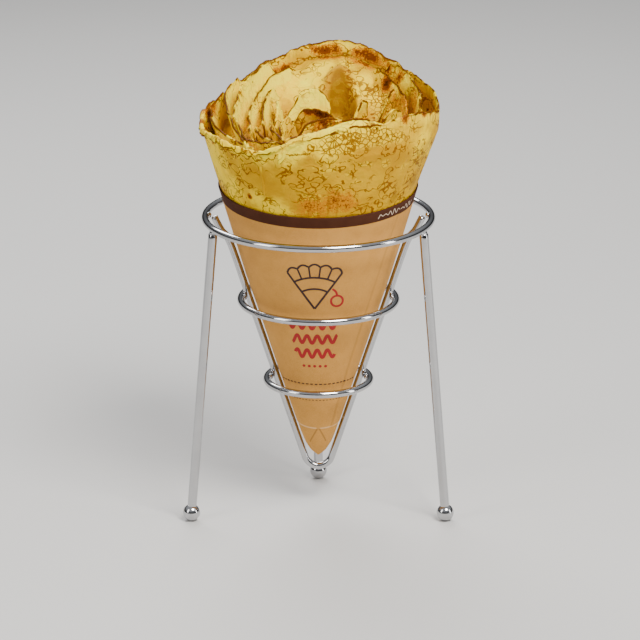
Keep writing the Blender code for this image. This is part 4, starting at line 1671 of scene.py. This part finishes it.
def core_edge(angle):
    """Where the core's top meets the outer wall at an angle."""
    spot = polar(angle, CORE_EDGE_AT, 0.0)
    return linear_value(WALL_RADII, core_top(spot.x, spot.y) - CORE_EDGE_BELOW) - CORE_INSET


def core_rows():
    """Rings of places, up the side and then inwards over the top."""
    angles = [360 * k / CORE_COLUMNS for k in range(CORE_COLUMNS)]
    rows = []
    for height in CORE_HEIGHTS:
        radius = max(linear_value(WALL_RADII, height) - CORE_INSET, CORE_LEAST)
        rows.append([polar(angle, radius, height) for angle in angles])
    edges = [core_edge(angle) for angle in angles]
    for k in range(CORE_ROWS):
        spots = [polar(angle, edge * (1 - k / CORE_ROWS), 0.0) for angle, edge in zip(angles, edges)]
        shift = LEAN_RIGHT * CORE_LEAN
        rows.append([Vector((spot.x + shift, spot.y, core_top(spot.x, spot.y))) for spot in spots])
    return rows


def core_mesh():
    """A closed cone with the pressed layers on top."""
    shape = bmesh.new()
    loops = [[shape.verts.new(place * MM) for place in row] for row in core_rows()]
    for under, over in zip(loops, loops[1:]):
        join_rows(shape, under, over)
    shape.faces.new(list(reversed(loops[0])))
    shape.faces.new(loops[-1])
    return mesh_from(shape, "crepe_core")


core = new_piece("crepe_core", core_mesh())
bake_marks(core.data)
deep = core.data.attributes.new("from_edge", "FLOAT", "POINT")
deep.data.foreach_set("value", [FAR_FROM_EDGE] * len(core.data.vertices))
finish_piece(core, CREPE, "crepe")

# %% [markdown]
# A plain pale floor and soft studio light, as for a catalogue: one large key lamp at the upper right
# of the front, weaker ones at the left and the right, and a strip behind, which draws the bright line
# along each wire. Chrome shows every lamp as a shape, so the lamps are few, large and simple, and the
# sky is dark near the floor and bright above.

# %% Floor and light
FLOOR_LIGHT = (0.62, 0.61, 0.595)
FLOOR_DARK = (0.59, 0.58, 0.565)
FLOOR_SIZE = 4.0            # metres to each side
SKY_COLOUR = (0.90, 0.92, 0.95, 1.0)
LAMPS = {                   # place in metres, height it faces, width and height, power, colour
    "key": ((0.45, -0.75, 1.25), 0.18, (0.6, 0.6), 31.0, (1.0, 0.98, 0.94)),
    "left": ((-1.0, -0.7, 0.7), 0.14, (0.4, 0.9), 6.0, (1.0, 0.98, 0.95)),
    "right": ((1.1, -0.35, 0.35), 0.12, (0.2, 0.9), 4.0, (1.0, 0.99, 0.97)),
    "back": ((-0.25, 0.9, 0.95), 0.18, (0.9, 0.4), 11.0, (1.0, 1.0, 1.0)),
}


def floor_material():
    """Matt pale paint with a trace of unevenness."""
    material, tree, shader = new_material("pale_floor")
    cloud = noise_value(tree, millimetres(tree), 0.002, 2.0)
    tree.links.new(mix_colour(tree, cloud, FLOOR_LIGHT, FLOOR_DARK), shader.inputs["Base Color"])
    set_shader(shader, Roughness=0.6)
    return material


def add_floor():
    """A wide floor."""
    shape = bmesh.new()
    bmesh.ops.create_grid(shape, x_segments=8, y_segments=8, size=FLOOR_SIZE)
    floor = new_piece("studio_floor", mesh_from(shape, "studio_floor", smooth=False))
    floor.data.materials.append(floor_material())


def add_area_light(name, place, facing, size_across_up, power, colour):
    """A soft lamp that faces a point on the axis."""
    data = bpy.data.lights.new(name, "AREA")
    data.shape = "RECTANGLE"
    data.size, data.size_y = size_across_up
    data.energy = power
    data.color = colour
    lamp = bpy.data.objects.new(name, data)
    bpy.context.scene.collection.objects.link(lamp)
    lamp.location = place
    lamp.rotation_euler = (Vector((0, 0, facing)) - Vector(place)).to_track_quat("-Z", "Y").to_euler()


def add_sky():
    """A sky that is dark at the horizon and bright overhead."""
    world = bpy.data.worlds.new("studio")
    world.use_nodes = True
    sky = world.node_tree
    direction = add_node(sky, "ShaderNodeTexCoord").outputs["Generated"]
    height = add_node(sky, "ShaderNodeSeparateXYZ", {0: direction}).outputs["Z"]
    limits = {"Value": height, "From Min": 0.05, "From Max": 0.75, "To Min": 0.03, "To Max": 0.55}
    strength = add_node(sky, "ShaderNodeMapRange", limits, interpolation_type="SMOOTHSTEP").outputs[0]
    sky.nodes["Background"].inputs["Color"].default_value = SKY_COLOUR
    sky.links.new(strength, sky.nodes["Background"].inputs["Strength"])
    bpy.context.scene.world = world


add_floor()
for name, lamp in LAMPS.items():
    add_area_light(name, *lamp)
add_sky()
print("lamps:", list(LAMPS))
